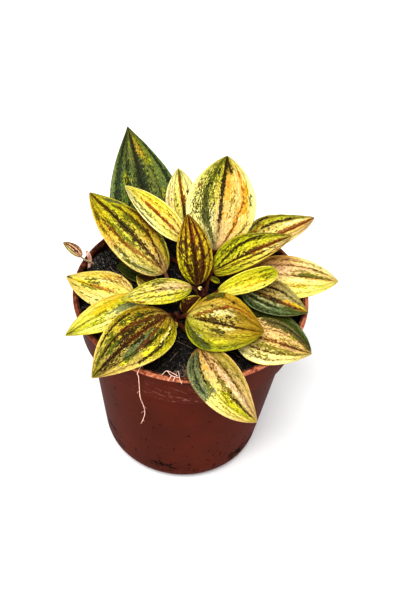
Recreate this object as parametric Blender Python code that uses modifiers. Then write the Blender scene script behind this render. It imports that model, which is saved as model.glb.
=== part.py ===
# Potted peperomia: a thin plastic nursery pot filled with peat, five short stems standing in the peat,
# the leaves that grow from them, and the loose roots that hang over the rim.
# Run with: blender --background --python part.py
# Metres, +Z up. The origin is the middle of the pot's flat base, and -Y is the front.

import math

import bmesh
import bpy
import numpy as np
from mathutils import Vector, noise

MM = 0.001
GAP = 0.3 * MM            # room between pieces that touch

# Pot: radii and heights of the turned wall
RIM_RADIUS = 60.0 * MM
POT_HEIGHT = 105.5 * MM
LIP_WIDTH = 3.0 * MM
LIP_THICKNESS = 1.3 * MM
LIP_OVERHANG = 0.9 * MM
LIP_ROUND = 0.4 * MM       # width of the small chamfers on the lip
COLLAR_HEIGHT = 21.0 * MM
COLLAR_LOW_RADIUS = 56.3 * MM
COLLAR_STEP = 1.6 * MM     # height of the sloping ledge under the collar
BODY_TOP_RADIUS = 52.6 * MM
FOOT_RADIUS = 44.2 * MM
FOOT_ROUND = 8.0 * MM
FOOT_POINTS = 5            # points on the arc of the foot
WALL = 1.2 * MM
POT_STEPS = 40
DRAIN_HOLES = 6
DRAIN_RADIUS = 4.5 * MM
DRAIN_CIRCLE = 25.0 * MM
DRAIN_SIDES = 16

# Soil: level at the wall, height of the mound in the middle, size of its lumps
SOIL_LEVEL = 98.0 * MM
SOIL_MOUND = 1.6 * MM
SOIL_LUMP = 0.8 * MM
SOIL_LUMP_SIZE = 9.0 * MM
SOIL_RINGS = 9
HOLE_SIDES = 10            # sides of the holes that stems and roots stand in

# Stems: where each stands in the soil and where it ends, in millimetres
STEM_RADIUS = 2.2 * MM
STEM_TIP_SHARE = 0.72      # radius at the top against radius at the soil
STEM_FOOT = 84.0 * MM      # how deep the stems reach
STEM_STRAIGHT = 100.5 * MM  # they stand upright to here, then lean
STEM_BENDS = 4             # pieces of the leaning stretch
STEM_LEAN = 1.3            # power by which the lean grows with height
STEMS = {
    "stem_back": dict(foot=(-2, 16), top=(-2, 19, 115)),
    "stem_centre": dict(foot=(6, -4), top=(6, -6, 111)),
    "stem_left": dict(foot=(-11, -3), top=(-12, -4, 109)),
    "stem_front": dict(foot=(-7, -17), top=(-6, -20, 109)),
    "stem_right": dict(foot=(17, 3), top=(19, 2, 110)),
}

# Leaves, in millimetres and degrees.
# stem and at: the stem a leaf grows from and the height of its joint there.
# base and tip: the two ends of the blade. width: the widest place across the blade.
# arch: how far the midrib bows out over its chord, and sway: how far it bows to its right.
# roll: how far the right half is lifted about the chord.
# skew: by what share the left half is wider than half the width, and the right half narrower.
# fold: how far each half rises from the midrib, and cup: how far it bends down again by its margin.
# shape: two powers of the outline, where the first rounds the base and the second sharpens the tip.
# stalk: the stalk's radius where it is thin. A leaf with a start grows straight up from that point,
# and lift is how far it does so.
LEAF_THICKNESS = 0.9 * MM
STALK_RADIUS = 1.1 * MM
VEIN_DEPTH = 0.45 * MM
VEIN_WIDTH = 6.0 * MM      # half width of the blade from which the veins are at their full depth
FLAT_WIDTH = 2.2 * MM      # a blade half as wide as this has only half its cup, so its end stays open below
USUAL_SHAPE = (0.55, 0.85)
BLADE_ROWS = (0.04, 0.13, 0.27, 0.43, 0.6, 0.77, 0.91, 0.98)   # shares of the length that carry a section
BLADE_COLUMNS = 9          # points across one face: margins, lateral veins, midrib and the ridges between
SMALL_WIDTH = 10           # blades narrower than this, in millimetres, have fewer rows and columns
SMALL_COLUMNS = 5
STALK_ROWS = (0, 0.35, 0.7, 1)
STALK_RISE = 0.8           # steepest slope at which a stalk leaves its stem
STALK_PULL = 0.3           # how long the stalk keeps its first and last direction
STALK_END_SHARE = 0.8      # radius at the blade against radius at the stem
LEAVES = {
    "leaf_back_left": dict(stem="stem_back", at=105, base=(-21, 33, 106), tip=(-41, 76, 150), width=41,
                           arch=4, sway=-0.5, fold=12, cup=30, shape=(0.45, 1.05)),
    "leaf_left_upper": dict(stem="stem_left", at=107, base=(-14, 8, 109), tip=(-57, 40, 132), width=31,
                            arch=4, sway=-1, fold=14, cup=40),
    "leaf_left_narrow": dict(stem="stem_back", at=113, base=(-5, 17, 124), tip=(-39, 43, 136), width=15,
                             arch=4, sway=-0.5, roll=20, fold=20, cup=40),
    "leaf_back_small": dict(stem="stem_back", at=110, base=(-6, 37, 118), tip=(-12, 55, 141), width=19,
                            arch=1, fold=12, cup=20),
    "leaf_back_tall": dict(stem="stem_back", at=111, base=(10, 18, 118), tip=(13, 57, 150), width=37,
                           arch=3, sway=0.5, fold=14, cup=30, shape=(0.65, 0.8)),
    "leaf_crown_dark": dict(stem="stem_centre", at=107, base=(3, -4, 114), tip=(-5, 22, 138), width=19,
                            arch=3, fold=20, cup=40),
    "leaf_right_upper": dict(stem="stem_right", at=107.5, base=(23, 24, 113), tip=(62, 43, 125), width=26,
                             arch=5, sway=4.5, skew=0.4, fold=14, cup=40),
    "leaf_crown_right": dict(stem="stem_centre", at=108, base=(10, 3, 118), tip=(49, 22, 129), width=24,
                             arch=5, shape=(0.45, 0.8), sway=3, skew=0.28, fold=25, cup=60),
    "leaf_right_pale": dict(stem="stem_right", at=103.5, base=(26, 15, 107), tip=(75, 9, 112), width=28,
                            arch=2, roll=-15, fold=10, cup=40, shape=(0.65, 0.8)),
    "leaf_crown_yellow": dict(stem="stem_centre", at=106, base=(13, -14, 120), tip=(42, -1, 125), width=12,
                              arch=3, roll=-40, fold=20, cup=60, shape=(0.5, 0.5)),
    "leaf_right_green": dict(stem="stem_right", at=109, base=(26, 1, 111), tip=(59, -14, 111), width=23,
                             arch=3, sway=2.5, roll=-10, skew=0.18, fold=10, cup=40),
    "leaf_front_round": dict(stem="stem_front", at=107, base=(-1, -28, 116), tip=(36, -38, 120), width=32,
                             arch=3, roll=-24, sway=1.5, skew=0.1, fold=10, cup=35, shape=(0.5, 0.8)),
    "leaf_right_shaded": dict(stem="stem_right", at=102.5, base=(30, -12, 106), tip=(60, -37, 107.5),
                              width=22, arch=1.5, fold=10, cup=30),
    "leaf_right_low": dict(stem="stem_right", at=106, base=(23, -30, 110), tip=(59, -44, 114), width=26,
                           arch=1.5, roll=-20, fold=10, cup=40),
    "leaf_front_hanging": dict(stem="stem_front", at=103, base=(6, -41, 109), tip=(36, -69, 90.5), width=24,
                               arch=10, sway=4.5, roll=-12, skew=-0.12, fold=10, cup=18),
    "leaf_front_left": dict(stem="stem_front", at=106, base=(-10, -24, 112), tip=(-42, -67, 111), width=31,
                            arch=4, sway=0.8, roll=12, fold=10, cup=35, shape=(0.47, 0.85)),
    "leaf_left_pale": dict(stem="stem_left", at=102.5, base=(-28, -9, 106), tip=(-64, 0, 109), width=24,
                           arch=2, roll=12, sway=-1.6, skew=-0.1, fold=10, cup=40),
    "leaf_left_low": dict(stem="stem_left", at=107, base=(-22, -10.5, 110), tip=(-58, -42, 110.5), width=23,
                          arch=3, fold=10, cup=50),
    "leaf_crown_left": dict(stem="stem_centre", at=109, base=(0, -11, 119), tip=(-34, -23, 118), width=16,
                            arch=4, roll=20, fold=10, cup=60),
    "leaf_left_shaded": dict(stem="stem_left", at=101.5, base=(-19, 10, 103), tip=(-41, 19, 103), width=16,
                             arch=1, fold=10, cup=30),
    "leaf_left_inner": dict(stem="stem_left", at=105, base=(-17, -1, 105), tip=(-29, 8, 106), width=12,
                            arch=1, fold=10, cup=30),
    "leaf_young_folded": dict(stem="stem_front", at=105, base=(-3, -19, 108), tip=(5, -14, 116), width=9,
                              arch=1.5, fold=45, cup=20, stalk=0.8),
    "leaf_young_strip": dict(stem="stem_right", at=108, base=(14, 2, 111), tip=(7.5, 4.5, 112), width=4,
                             arch=0.5, fold=20, cup=30, stalk=0.7),
    "leaf_young_curl": dict(start=(6, -6, 111.8), base=(5, -6.4, 113.6), tip=(2.6, -6.6, 114.6), width=2.4,
                            arch=1, roll=40, fold=30, cup=60, stalk=0.6),
    "leaf_bud": dict(stem="stem_front", at=105.5, base=(-6.5, -23.9, 107), tip=(-6.6, -25.4, 102.8), width=3,
                     arch=0.5, fold=20, cup=40, stalk=0.6),
    "leaf_withered": dict(start=(-50.5, 16, 97.2), base=(-58, 15, 109), tip=(-69, 23, 111), width=7,
                          arch=1.5, fold=25, cup=50, stalk=0.6, lift=10),
}

# Roots, in millimetres: the route of the axis of each. The last four are branches of one root on the rim.
ROOT_RADIUS = 0.4 * MM
ROOT_SPACING = 2.0 * MM
ROOT_TIP_SHARE = 0.85
ROOT_FOOT = 96.7 * MM      # bottom of the holes that roots and the withered stalk stand in
HANGING_ROOT = [(-19.6, -50.8, 97), (-20.1, -52, 104.3), (-20.6, -53.8, 106.5), (-21.4, -55.7, 106.5),
                (-22, -56.8, 104.5), (-21.5, -55.6, 101), (-21.1, -54.4, 92), (-20.8, -53.6, 85),
                (-20.4, -52.2, 80), (-19.3, -50, 73), (-18.4, -49, 66), (-19, -48.3, 60), (-20.3, -48, 54.5)]
RIM_ROOTS = [
    [(-4, -51.8, 97), (-3.6, -53, 103.8), (-2.9, -55.4, 106.4), (-2.1, -59.4, 106.4), (-0.9, -61.4, 105.2)],
    [(-2.6, -56.8, 106.4), (-6, -54.9, 106.8), (-9.1, -55.7, 106.6), (-10.7, -58.2, 106.4)],
    [(-8.2, -55.3, 106.6), (-6, -57.8, 106.4), (-2.4, -58.7, 106.4)],
    [(-6, -57.8, 106.4), (-7.4, -61.1, 106.2)],
    [(-4.4, -58.3, 106.4), (-5.1, -61.1, 106.2)],
]


def clear_scene():
    for old in list(bpy.context.scene.objects):
        bpy.data.objects.remove(old)


def collection(name):
    made = bpy.data.collections.new(name)
    bpy.context.scene.collection.children.link(made)
    return made


def material(name, colour, roughness):
    made = bpy.data.materials.new(name)
    made.use_nodes = True
    shader = made.node_tree.nodes["Principled BSDF"]
    shader.inputs["Base Color"].default_value = (*colour, 1)
    shader.inputs["Roughness"].default_value = roughness
    shader.inputs["Metallic"].default_value = 0
    made.diffuse_color = (*colour, 1)
    return made


def add_object(name, mesh, home, finish=None):
    made = bpy.data.objects.new(name, mesh)
    home.objects.link(made)
    if finish:
        mesh.materials.append(finish)
    return made


def settle(thing):
    """Turn an object with its modifiers, or a curve with its caps, into a plain closed mesh."""
    bpy.context.view_layer.update()
    graph = bpy.context.evaluated_depsgraph_get()
    mesh = bpy.data.meshes.new_from_object(thing.evaluated_get(graph))
    body = bmesh.new()
    body.from_mesh(mesh)
    bmesh.ops.remove_doubles(body, verts=body.verts, dist=0.01 * MM)
    body.to_mesh(mesh)
    body.free()
    made = bpy.data.objects.new(thing.name, mesh)
    made.matrix_world = thing.matrix_world.copy()
    thing.users_collection[0].objects.link(made)
    name = thing.name
    bpy.data.objects.remove(thing)
    made.name = name
    return made


def smooth(thing, angle=40):
    thing.data.shade_smooth()
    thing.data.set_sharp_from_angle(angle=math.radians(angle))


def turned(name, profile, steps, home):
    """A turned shape: the profile runs down its outer side and is carried round Z."""
    mesh = bpy.data.meshes.new(name)
    edges = [(i, i + 1) for i in range(len(profile) - 1)]
    mesh.from_pydata([(radius, 0, height) for radius, height in profile], edges, [])
    made = add_object(name, mesh, home)
    screw = made.modifiers.new("Turn", "SCREW")
    screw.steps = screw.render_steps = steps
    screw.use_merge_vertices = True
    screw.merge_threshold = 0.00005
    return settle(made)


def cut(thing, cutters, home):
    """Cut a collection of closed shapes out of a piece and drop them."""
    modifier = thing.modifiers.new("Cut", "BOOLEAN")
    modifier.operation = "DIFFERENCE"
    modifier.operand_type = "COLLECTION"
    modifier.collection = cutters
    made = settle(thing)
    for cutter in list(cutters.objects):
        bpy.data.objects.remove(cutter)
    return made


def upright_cutter(name, centre, radius, low, high, home, sides):
    mesh = bpy.data.meshes.new(name)
    body = bmesh.new()
    bmesh.ops.create_cone(body, cap_ends=True, segments=sides, radius1=radius, radius2=radius,
                          depth=high - low)
    body.to_mesh(mesh)
    body.free()
    made = add_object(name, mesh, home)
    made.location = (centre[0], centre[1], (low + high) / 2)
    made.hide_render = True
    made.display_type = "WIRE"
    return made


def arc(centre, radius, start, end, count):
    """Points of an arc in the profile's plane, angles in degrees from +X towards +Z."""
    turns = np.radians(np.linspace(start, end, count))
    return [(centre[0] + radius * math.cos(a), centre[1] + radius * math.sin(a)) for a in turns]


def wall_profile(inset):
    """The pot's wall from the ledge down to the floor, moved inwards by inset."""
    ledge = POT_HEIGHT - COLLAR_HEIGHT
    lean = (BODY_TOP_RADIUS - FOOT_RADIUS) / (ledge - COLLAR_STEP - FOOT_ROUND)
    tilt = math.degrees(math.atan(lean))
    centre = (FOOT_RADIUS - FOOT_ROUND, FOOT_ROUND)
    foot = arc(centre, FOOT_ROUND - inset, -tilt, -90, FOOT_POINTS)
    return [(COLLAR_LOW_RADIUS - inset, ledge), (BODY_TOP_RADIUS - inset, ledge - COLLAR_STEP)] + foot


def make_pot(parts, cutters):
    lip_inside = RIM_RADIUS - LIP_WIDTH
    under_lip = RIM_RADIUS - LIP_OVERHANG
    inside = [(0, WALL)] + wall_profile(WALL)[::-1]
    lip_low = POT_HEIGHT - LIP_THICKNESS
    lip = [(lip_inside, lip_low), (lip_inside + LIP_ROUND, POT_HEIGHT), (RIM_RADIUS - LIP_ROUND, POT_HEIGHT),
           (RIM_RADIUS, POT_HEIGHT - LIP_ROUND), (RIM_RADIUS, lip_low), (under_lip, lip_low - LIP_ROUND)]
    outside = wall_profile(0) + [(0, 0)]
    pot = turned("pot", inside + lip + outside, POT_STEPS, parts)
    for i in range(DRAIN_HOLES):
        turn = 2 * math.pi * (i + 0.5) / DRAIN_HOLES
        middle = (DRAIN_CIRCLE * math.cos(turn), DRAIN_CIRCLE * math.sin(turn))
        upright_cutter("drain_cutter", middle, DRAIN_RADIUS, -FOOT_ROUND, FOOT_ROUND, cutters, DRAIN_SIDES)
    pot = cut(pot, cutters, parts)
    pot.data.materials.clear()
    pot.data.materials.append(material("pot_plastic", (0.13, 0.035, 0.02), 0.5))
    smooth(pot, 30)
    return pot


def soil_height(x, y):
    """Height of the soil: a low mound with lumps, and lumps of half the size and height on those."""
    reach = math.hypot(x, y) / (RIM_RADIUS - LIP_WIDTH)
    place = Vector((x, y, 0)) / SOIL_LUMP_SIZE
    lumps = noise.noise(place) + 0.5 * noise.noise(2 * place)
    return SOIL_LEVEL + SOIL_MOUND * max(0, 1 - reach ** 2) + SOIL_LUMP * lumps


def make_soil(parts, cutters, holes):
    inset = WALL + GAP
    wall = wall_profile(inset)
    ledge_radius, ledge = wall[0]
    lip_inside = RIM_RADIUS - LIP_WIDTH
    share = (SOIL_LEVEL - ledge) / (POT_HEIGHT - LIP_THICKNESS - ledge)
    edge = ledge_radius + (lip_inside - COLLAR_LOW_RADIUS + WALL) * share
    top = [(edge * i / SOIL_RINGS, SOIL_LEVEL) for i in range(SOIL_RINGS + 1)]
    floor = wall[-1][1] + GAP
    bottom = [(radius, max(height, floor)) for radius, height in wall]
    soil = turned("soil", top + bottom + [(0, floor)], POT_STEPS, parts)
    for vertex in soil.data.vertices:
        if vertex.co.z > SOIL_LEVEL - GAP:
            vertex.co.z = soil_height(vertex.co.x, vertex.co.y)
    for middle, radius, low in holes:
        middle = [v * MM for v in middle]
        upright_cutter("hole_cutter", middle, radius + GAP, low - GAP, POT_HEIGHT, cutters, HOLE_SIDES)
    soil = cut(soil, cutters, parts)
    soil.data.materials.clear()
    soil.data.materials.append(material("peat", (0.02, 0.014, 0.01), 0.95))
    smooth(soil, 60)
    return soil


def smooth_route(points, spacing):
    """Points read along a smooth curve through the given ones, about one every spacing."""
    points = [Vector(p) for p in points]
    ends = [2 * points[0] - points[1]] + points + [2 * points[-1] - points[-2]]
    route = []
    for before, start, end, after in zip(ends, ends[1:], ends[2:], ends[3:]):
        pieces = max(1, round((end - start).length / spacing))
        for i in range(pieces):
            t = i / pieces
            route.append(0.5 * (2 * start + (end - before) * t
                                + (2 * before - 5 * start + 4 * end - after) * t ** 2
                                + (3 * start - before - 3 * end + after) * t ** 3))
    return route + [points[-1]]


def tube(name, points, start_radius, end_radius, home):
    """A round stalk or root: a bevelled curve whose radius changes evenly along it."""
    curve = bpy.data.curves.new(name, "CURVE")
    curve.dimensions = "3D"
    curve.bevel_depth = start_radius
    curve.bevel_resolution = 2
    curve.use_fill_caps = True
    spline = curve.splines.new("POLY")
    spline.points.add(len(points) - 1)
    for i, (point, place) in enumerate(zip(spline.points, points)):
        point.co = (*place, 1)
        point.radius = 1 + (end_radius / start_radius - 1) * i / (len(points) - 1)
    return settle(add_object(name, curve, home))


def stem_axis(stem, height):
    """Where a stem's axis is at a height: upright in the soil, then an even lean to its top."""
    foot = np.array(stem["foot"], float) * MM
    top = np.array(stem["top"], float) * MM
    share = max(0.0, (height - STEM_STRAIGHT) / (top[2] - STEM_STRAIGHT))
    return np.array([*(foot + (top[:2] - foot) * share ** STEM_LEAN), height])


def stem_radius(stem, height):
    """The radius thins evenly from the point below the lean to the stem's top."""
    share = max(0.0, (height - STEM_STRAIGHT) / (stem["top"][2] * MM - STEM_STRAIGHT))
    steps = (1 + STEM_BENDS * share) / (1 + STEM_BENDS)
    return STEM_RADIUS * (1 + (STEM_TIP_SHARE - 1) * steps)


def make_stems(parts):
    finish = material("stem_skin", (0.12, 0.02, 0.015), 0.45)
    for name, stem in STEMS.items():
        top = stem["top"][2] * MM
        heights = [STEM_FOOT] + list(np.linspace(STEM_STRAIGHT, top, STEM_BENDS + 1))
        made = tube(name, [stem_axis(stem, z) for z in heights], STEM_RADIUS,
                    STEM_RADIUS * STEM_TIP_SHARE, parts)
        made.data.materials.append(finish)
        smooth(made)


def unit(vector):
    return vector / np.linalg.norm(vector, axis=-1, keepdims=True)


def midrib(leaf, s):
    """Points of the midrib at shares s of the blade's length, with the directions along, right and up."""
    base, tip = (np.array(leaf[end], float) * MM for end in ("base", "tip"))
    chord = unit(tip - base)
    right = unit(np.cross(chord, [0, 0, 1]))
    up = np.cross(right, chord)
    roll = math.radians(leaf.get("roll", 0))
    right, up = right * math.cos(roll) + up * math.sin(roll), up * math.cos(roll) - right * math.sin(roll)
    middle = (base + tip) / 2 + 2 * MM * (leaf["arch"] * up + leaf.get("sway", 0) * right)
    s = np.asarray(s, float)[..., None]
    points = (1 - s) ** 2 * base + 2 * s * (1 - s) * middle + s ** 2 * tip
    along = unit((1 - s) * (middle - base) + s * (tip - middle))
    right = unit(right - along * (along @ right)[..., None])
    return points, along, right, np.cross(right, along)


def half_width(leaf, s):
    """The outline: a power of the way from the base times a power of the way to the tip."""
    round_base, sharp_tip = leaf.get("shape", USUAL_SHAPE)
    widest = round_base / (round_base + sharp_tip)
    full = widest ** round_base * (1 - widest) ** sharp_tip
    return leaf["width"] * MM / 2 * s ** round_base * (1 - s) ** sharp_tip / full


def section(leaf, s, across):
    """One cross-section of the blade, its upper face from left to right and its lower face back again."""
    point, along, right, up = midrib(leaf, s)
    width = half_width(leaf, s)
    fold = math.radians(leaf["fold"])
    cup = math.radians(leaf["cup"]) * min(1, width / FLAT_WIDTH)
    reach = np.abs(across)
    slope = fold - cup * reach
    side = width * (1 - leaf.get("skew", 0) * np.sign(across))
    x = np.sign(across) * side * (math.sin(fold) - np.sin(slope)) / cup
    z = side * (np.cos(slope) - math.cos(fold)) / cup
    veins = np.isin(reach, (0.0, 0.5))
    dent = VEIN_DEPTH * min(1, width / VEIN_WIDTH) * veins
    lean_x, lean_z = -np.sign(across) * np.sin(slope), np.cos(slope)
    upper = point + np.outer(x - lean_x * dent, right) + np.outer(z - lean_z * dent, up)
    lower = upper - LEAF_THICKNESS * (np.outer(lean_x, right) + np.outer(lean_z, up))
    return np.vstack([upper, lower[::-1]])


def stalk_radius(leaf):
    return leaf.get("stalk", STALK_RADIUS / MM) * MM


def stalk_path(leaf):
    """The stalk: a curve that leaves its stem outwards, or rises from its start, and runs into the midrib."""
    end, along, right, up = midrib(leaf, 0.0)
    end = end - up * LEAF_THICKNESS / 2
    if "start" in leaf:
        start = np.array(leaf["start"], float) * MM
        out = np.array([0.0, 0.0, 1.0])
    else:
        stem, height = STEMS[leaf["stem"]], leaf["at"] * MM
        axis = stem_axis(stem, height)
        out = end - axis
        level = math.hypot(out[0], out[1])
        out[2] = min(max(out[2], 0), level * STALK_RISE)
        away = out * [1, 1, 0] / level
        out = unit(out)
        tilt = stalk_radius(leaf) * out[2]
        lean = max(0.0, (stem_axis(stem, height + stalk_radius(leaf)) - axis) @ away)
        start = axis + away * (stem_radius(stem, height) + GAP + tilt + lean)
    pull = np.linalg.norm(end - start) * STALK_PULL
    lift = leaf["lift"] * MM if "lift" in leaf else pull
    t = np.array(STALK_ROWS)[:, None]
    bend = [(1 - t) ** 3, 3 * t * (1 - t) ** 2, 3 * t ** 2 * (1 - t), t ** 3]
    handles = [start, start + out * lift, end - along * pull, end]
    points = sum(share * handle for share, handle in zip(bend, handles))
    ways = unit(np.gradient(points, axis=0))
    ways[0], ways[-1] = out, along
    return points, ways, right


def ring(centre, along, right, radius, count):
    """A round section with its points in the same order as a blade's section."""
    right = unit(right - along * (right @ along))
    up = np.cross(right, along)
    step = math.pi / count
    turns = np.concatenate([math.pi - step * (np.arange(count) + 0.5), -step * (np.arange(count) + 0.5)])
    return centre + radius * (np.outer(np.cos(turns), right) + np.outer(np.sin(turns), up))


def loft(name, sections, tip, home):
    """Join sections of equal length into one closed skin with a flat start and a pointed end."""
    count = len(sections[0])
    half = count // 2
    vertices = [point for one in sections for point in one]
    start = len(vertices)
    vertices += [sections[0].mean(axis=0), tip]
    faces = []
    for row in range(len(sections) - 1):
        for i in range(count):
            a, b = row * count + i, row * count + (i + 1) % count
            c, d = a + count, b + count
            if i < half:
                faces += [(a, b, c), (b, d, c)]
            else:
                faces += [(a, d, c), (a, b, d)]
    last = (len(sections) - 1) * count
    for i in range(count):
        faces.append((start, (i + 1) % count, i))
        faces.append((start + 1, last + i, last + (i + 1) % count))
    mesh = bpy.data.meshes.new(name)
    mesh.from_pydata([tuple(v) for v in vertices], [], faces)
    return add_object(name, mesh, home)


def make_leaf(name, leaf, finish, parts):
    columns = BLADE_COLUMNS if leaf["width"] > SMALL_WIDTH else SMALL_COLUMNS
    rows = BLADE_ROWS if leaf["width"] > SMALL_WIDTH else BLADE_ROWS[::2]
    across = np.linspace(-1, 1, columns)
    points, ways, right = stalk_path(leaf)
    sizes = np.linspace(1, STALK_END_SHARE, len(points)) * stalk_radius(leaf)
    sections = [ring(point, way, right, size, columns) for point, way, size in zip(points, ways, sizes)]
    sections += [section(leaf, s, across) for s in rows]
    point, along, right, up = midrib(leaf, 1.0)
    made = loft(name, sections, point - up * LEAF_THICKNESS / 2, parts)
    made.data.materials.append(finish)
    smooth(made)
    return made


def make_root(name, routes, finish, parts):
    """A root: its branches are tubes joined into one body."""
    branches = []
    for i, route in enumerate(routes):
        points = smooth_route([[v * MM for v in point] for point in route], ROOT_SPACING)
        branches.append(tube(name if i == 0 else name + "_branch", points, ROOT_RADIUS,
                             ROOT_RADIUS * ROOT_TIP_SHARE, parts))
    trunk = branches[0]
    for branch in branches[1:]:
        join = trunk.modifiers.new("Join", "BOOLEAN")
        join.operation = "UNION"
        join.object = branch
        trunk = settle(trunk)
        bpy.data.objects.remove(branch)
    trunk.data.materials.clear()
    trunk.data.materials.append(finish)
    smooth(trunk)
    return trunk


def main():
    clear_scene()
    parts = collection("potted_peperomia")
    cutters = collection("cutters")
    holes = [(stem["foot"], STEM_RADIUS, STEM_FOOT) for stem in STEMS.values()]
    holes += [(route[0][:2], ROOT_RADIUS, ROOT_FOOT) for route in (HANGING_ROOT, RIM_ROOTS[0])]
    withered = LEAVES["leaf_withered"]
    holes.append((withered["start"][:2], withered["stalk"] * MM, withered["start"][2] * MM))
    make_pot(parts, cutters)
    make_soil(parts, cutters, holes)
    make_stems(parts)
    blade = material("blade", (0.62, 0.6, 0.12), 0.4)
    dry_blade = material("dry_blade", (0.39, 0.21, 0.09), 0.7)
    for name, leaf in LEAVES.items():
        make_leaf(name, leaf, dry_blade if name == "leaf_withered" else blade, parts)
    root = material("root_skin", (0.6, 0.3, 0.2), 0.6)
    make_root("root_hanging", [HANGING_ROOT], root, parts)
    make_root("root_rim", RIM_ROOTS, root, parts)


main()
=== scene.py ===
# The looks of the potted peperomia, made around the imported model. Metres, +Z up, and -Y is the front.
import math

import bpy
import numpy as np
from mathutils import Matrix, Vector


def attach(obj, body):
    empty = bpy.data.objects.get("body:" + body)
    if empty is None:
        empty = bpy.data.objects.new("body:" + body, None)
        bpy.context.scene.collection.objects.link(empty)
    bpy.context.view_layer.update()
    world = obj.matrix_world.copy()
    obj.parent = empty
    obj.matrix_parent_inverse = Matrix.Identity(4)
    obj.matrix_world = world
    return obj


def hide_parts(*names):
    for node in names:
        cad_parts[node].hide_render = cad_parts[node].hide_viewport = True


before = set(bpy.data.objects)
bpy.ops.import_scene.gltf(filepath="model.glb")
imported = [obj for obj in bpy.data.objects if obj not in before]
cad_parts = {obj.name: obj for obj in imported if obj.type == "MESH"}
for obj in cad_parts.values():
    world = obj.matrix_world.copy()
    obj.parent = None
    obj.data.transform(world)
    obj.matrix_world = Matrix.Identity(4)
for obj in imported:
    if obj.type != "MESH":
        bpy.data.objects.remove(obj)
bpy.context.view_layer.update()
mm = 0.001
scene = bpy.context.scene
print("frame loaded with", len(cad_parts), "nodes")


# Shader maths: a socket that takes part in Python expressions.
class Value:
    def __init__(self, skin, socket):
        self.skin, self.socket = skin, socket

    def joined(self, operation, first, second):
        return self.skin.node("ShaderNodeMath", dict(operation=operation), {0: first, 1: second})

    def __add__(self, other):
        return self.joined("ADD", self, other)

    def __radd__(self, other):
        return self.joined("ADD", other, self)

    def __sub__(self, other):
        return self.joined("SUBTRACT", self, other)

    def __rsub__(self, other):
        return self.joined("SUBTRACT", other, self)

    def __mul__(self, other):
        return self.joined("MULTIPLY", self, other)

    def __rmul__(self, other):
        return self.joined("MULTIPLY", other, self)

    def __abs__(self):
        return self.joined("ABSOLUTE", self, 0)

    def larger(self, other):
        return self.joined("MAXIMUM", self, other)

    def between(self, low, high):    # 0 below low, 1 above high, and smooth in between
        return self.skin.node("ShaderNodeMapRange", dict(interpolation_type="SMOOTHSTEP"),
                              {0: self, 1: low, 2: high, 3: 0, 4: 1})


class Skin:
    def __init__(self, name):
        self.material = bpy.data.materials.new(name)
        self.material.use_nodes = True
        self.tree = self.material.node_tree
        self.shader = self.tree.nodes["Principled BSDF"]

    def put(self, socket, value):    # a link, a number, a vector, or a colour of three parts
        if isinstance(value, Value):
            self.tree.links.new(value.socket, socket)
        elif value is not None:
            socket.default_value = (*value, 1) if socket.type == "RGBA" and len(value) == 3 else value

    def node(self, kind, settings=None, inputs=None, output=0):
        made = self.tree.nodes.new(kind)
        for name, value in (settings or {}).items():
            setattr(made, name, value)
        for name, value in (inputs or {}).items():
            self.put(made.inputs[name], value)
        return Value(self, made.outputs[output])

    def finish(self, sockets):
        for name, value in sockets.items():
            self.put(self.shader.inputs[name], value)
        return self.material

    def mix(self, factor, first, second, blend="MIX"):
        return self.node("ShaderNodeMix", dict(data_type="RGBA", blend_type=blend),
                         {0: factor, 6: first, 7: second}, 2)

    def vector(self, operation, first, second=None, output=0):    # output 1 is the one that is a number
        return self.node("ShaderNodeVectorMath", dict(operation=operation), {0: first, 1: second}, output)

    def tinted(self, colour, light):    # a colour made lighter or darker by a value around 1
        return self.node("ShaderNodeVectorMath", dict(operation="SCALE"), {0: colour, 3: light})

    def attribute(self, name, output="Vector"):
        return self.node("ShaderNodeAttribute", dict(attribute_name=name), None, output)

    def place(self):
        return self.node("ShaderNodeTexCoord", None, None, "Object")

    def scaled(self, vector, x, y, z):
        return self.vector("MULTIPLY", vector, (x, y, z))

    def leant(self, vector, share):    # z grows with x, so a pattern's rows slant
        lift = self.vector("DOT_PRODUCT", vector, (share, 0, 0), 1)
        return self.vector("ADD", vector, self.node("ShaderNodeCombineXYZ", None, {2: lift}))

    def parts(self, vector):
        split = self.tree.nodes.new("ShaderNodeSeparateXYZ")
        self.put(split.inputs[0], vector)
        return [Value(self, out) for out in split.outputs]

    def noise(self, vector, scale, detail=3, roughness=0.6, output=0):    # output 1 has three fields
        return self.node("ShaderNodeTexNoise", None,
                         {"Vector": vector, "Scale": scale, "Detail": detail, "Roughness": roughness}, output)

    def bump(self, height, distance, strength=1.0):
        return self.node("ShaderNodeBump", None,
                         {"Height": height, "Distance": distance, "Strength": strength})


def paint(red, green, blue):    # a colour as a screen shows it, made linear
    shown = np.array([red, green, blue]) / 255
    return tuple(np.where(shown > 0.04045, ((shown + 0.055) / 1.055) ** 2.4, shown / 12.92))


# Arrays
def unit(vectors):
    return vectors / np.linalg.norm(vectors, axis=-1, keepdims=True)


# 0 below low, 1 above high, and between them three times the share squared less twice its cube.
def smoothStep(x, low, high):
    t = np.clip((x - low) / (high - low), 0, 1)
    return t * t * (3 - 2 * t)


# An irregular field from -1 to 1: sines with seeded directions, paces and phases, added up.
def waves(x, y, seed, count=6):
    draw = np.random.default_rng(seed)
    turns, phases = draw.uniform(0, 2 * np.pi, (2, count))
    paces = draw.uniform(0.6, 1.7, count)
    return sum(np.sin((x * math.cos(turn) + y * math.sin(turn)) * pace + phase)
               for turn, pace, phase in zip(turns, paces, phases)) / count


# Quads between neighbouring rows of a grid whose rows close on themselves.
def loopFaces(rows, around):
    i = np.arange(rows - 1)[:, None] * around
    j = np.arange(around)
    k = (j + 1) % around
    return np.stack([i + j, i + k, i + k + around, i + j + around], -1).reshape(-1, 4)


# The fan that closes a loop, from its first point's number to a middle point.
def fan(first, around, middle):
    j = np.arange(around)
    return np.stack([first + (j + 1) % around, first + j, np.full(around, middle)], -1)


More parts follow.
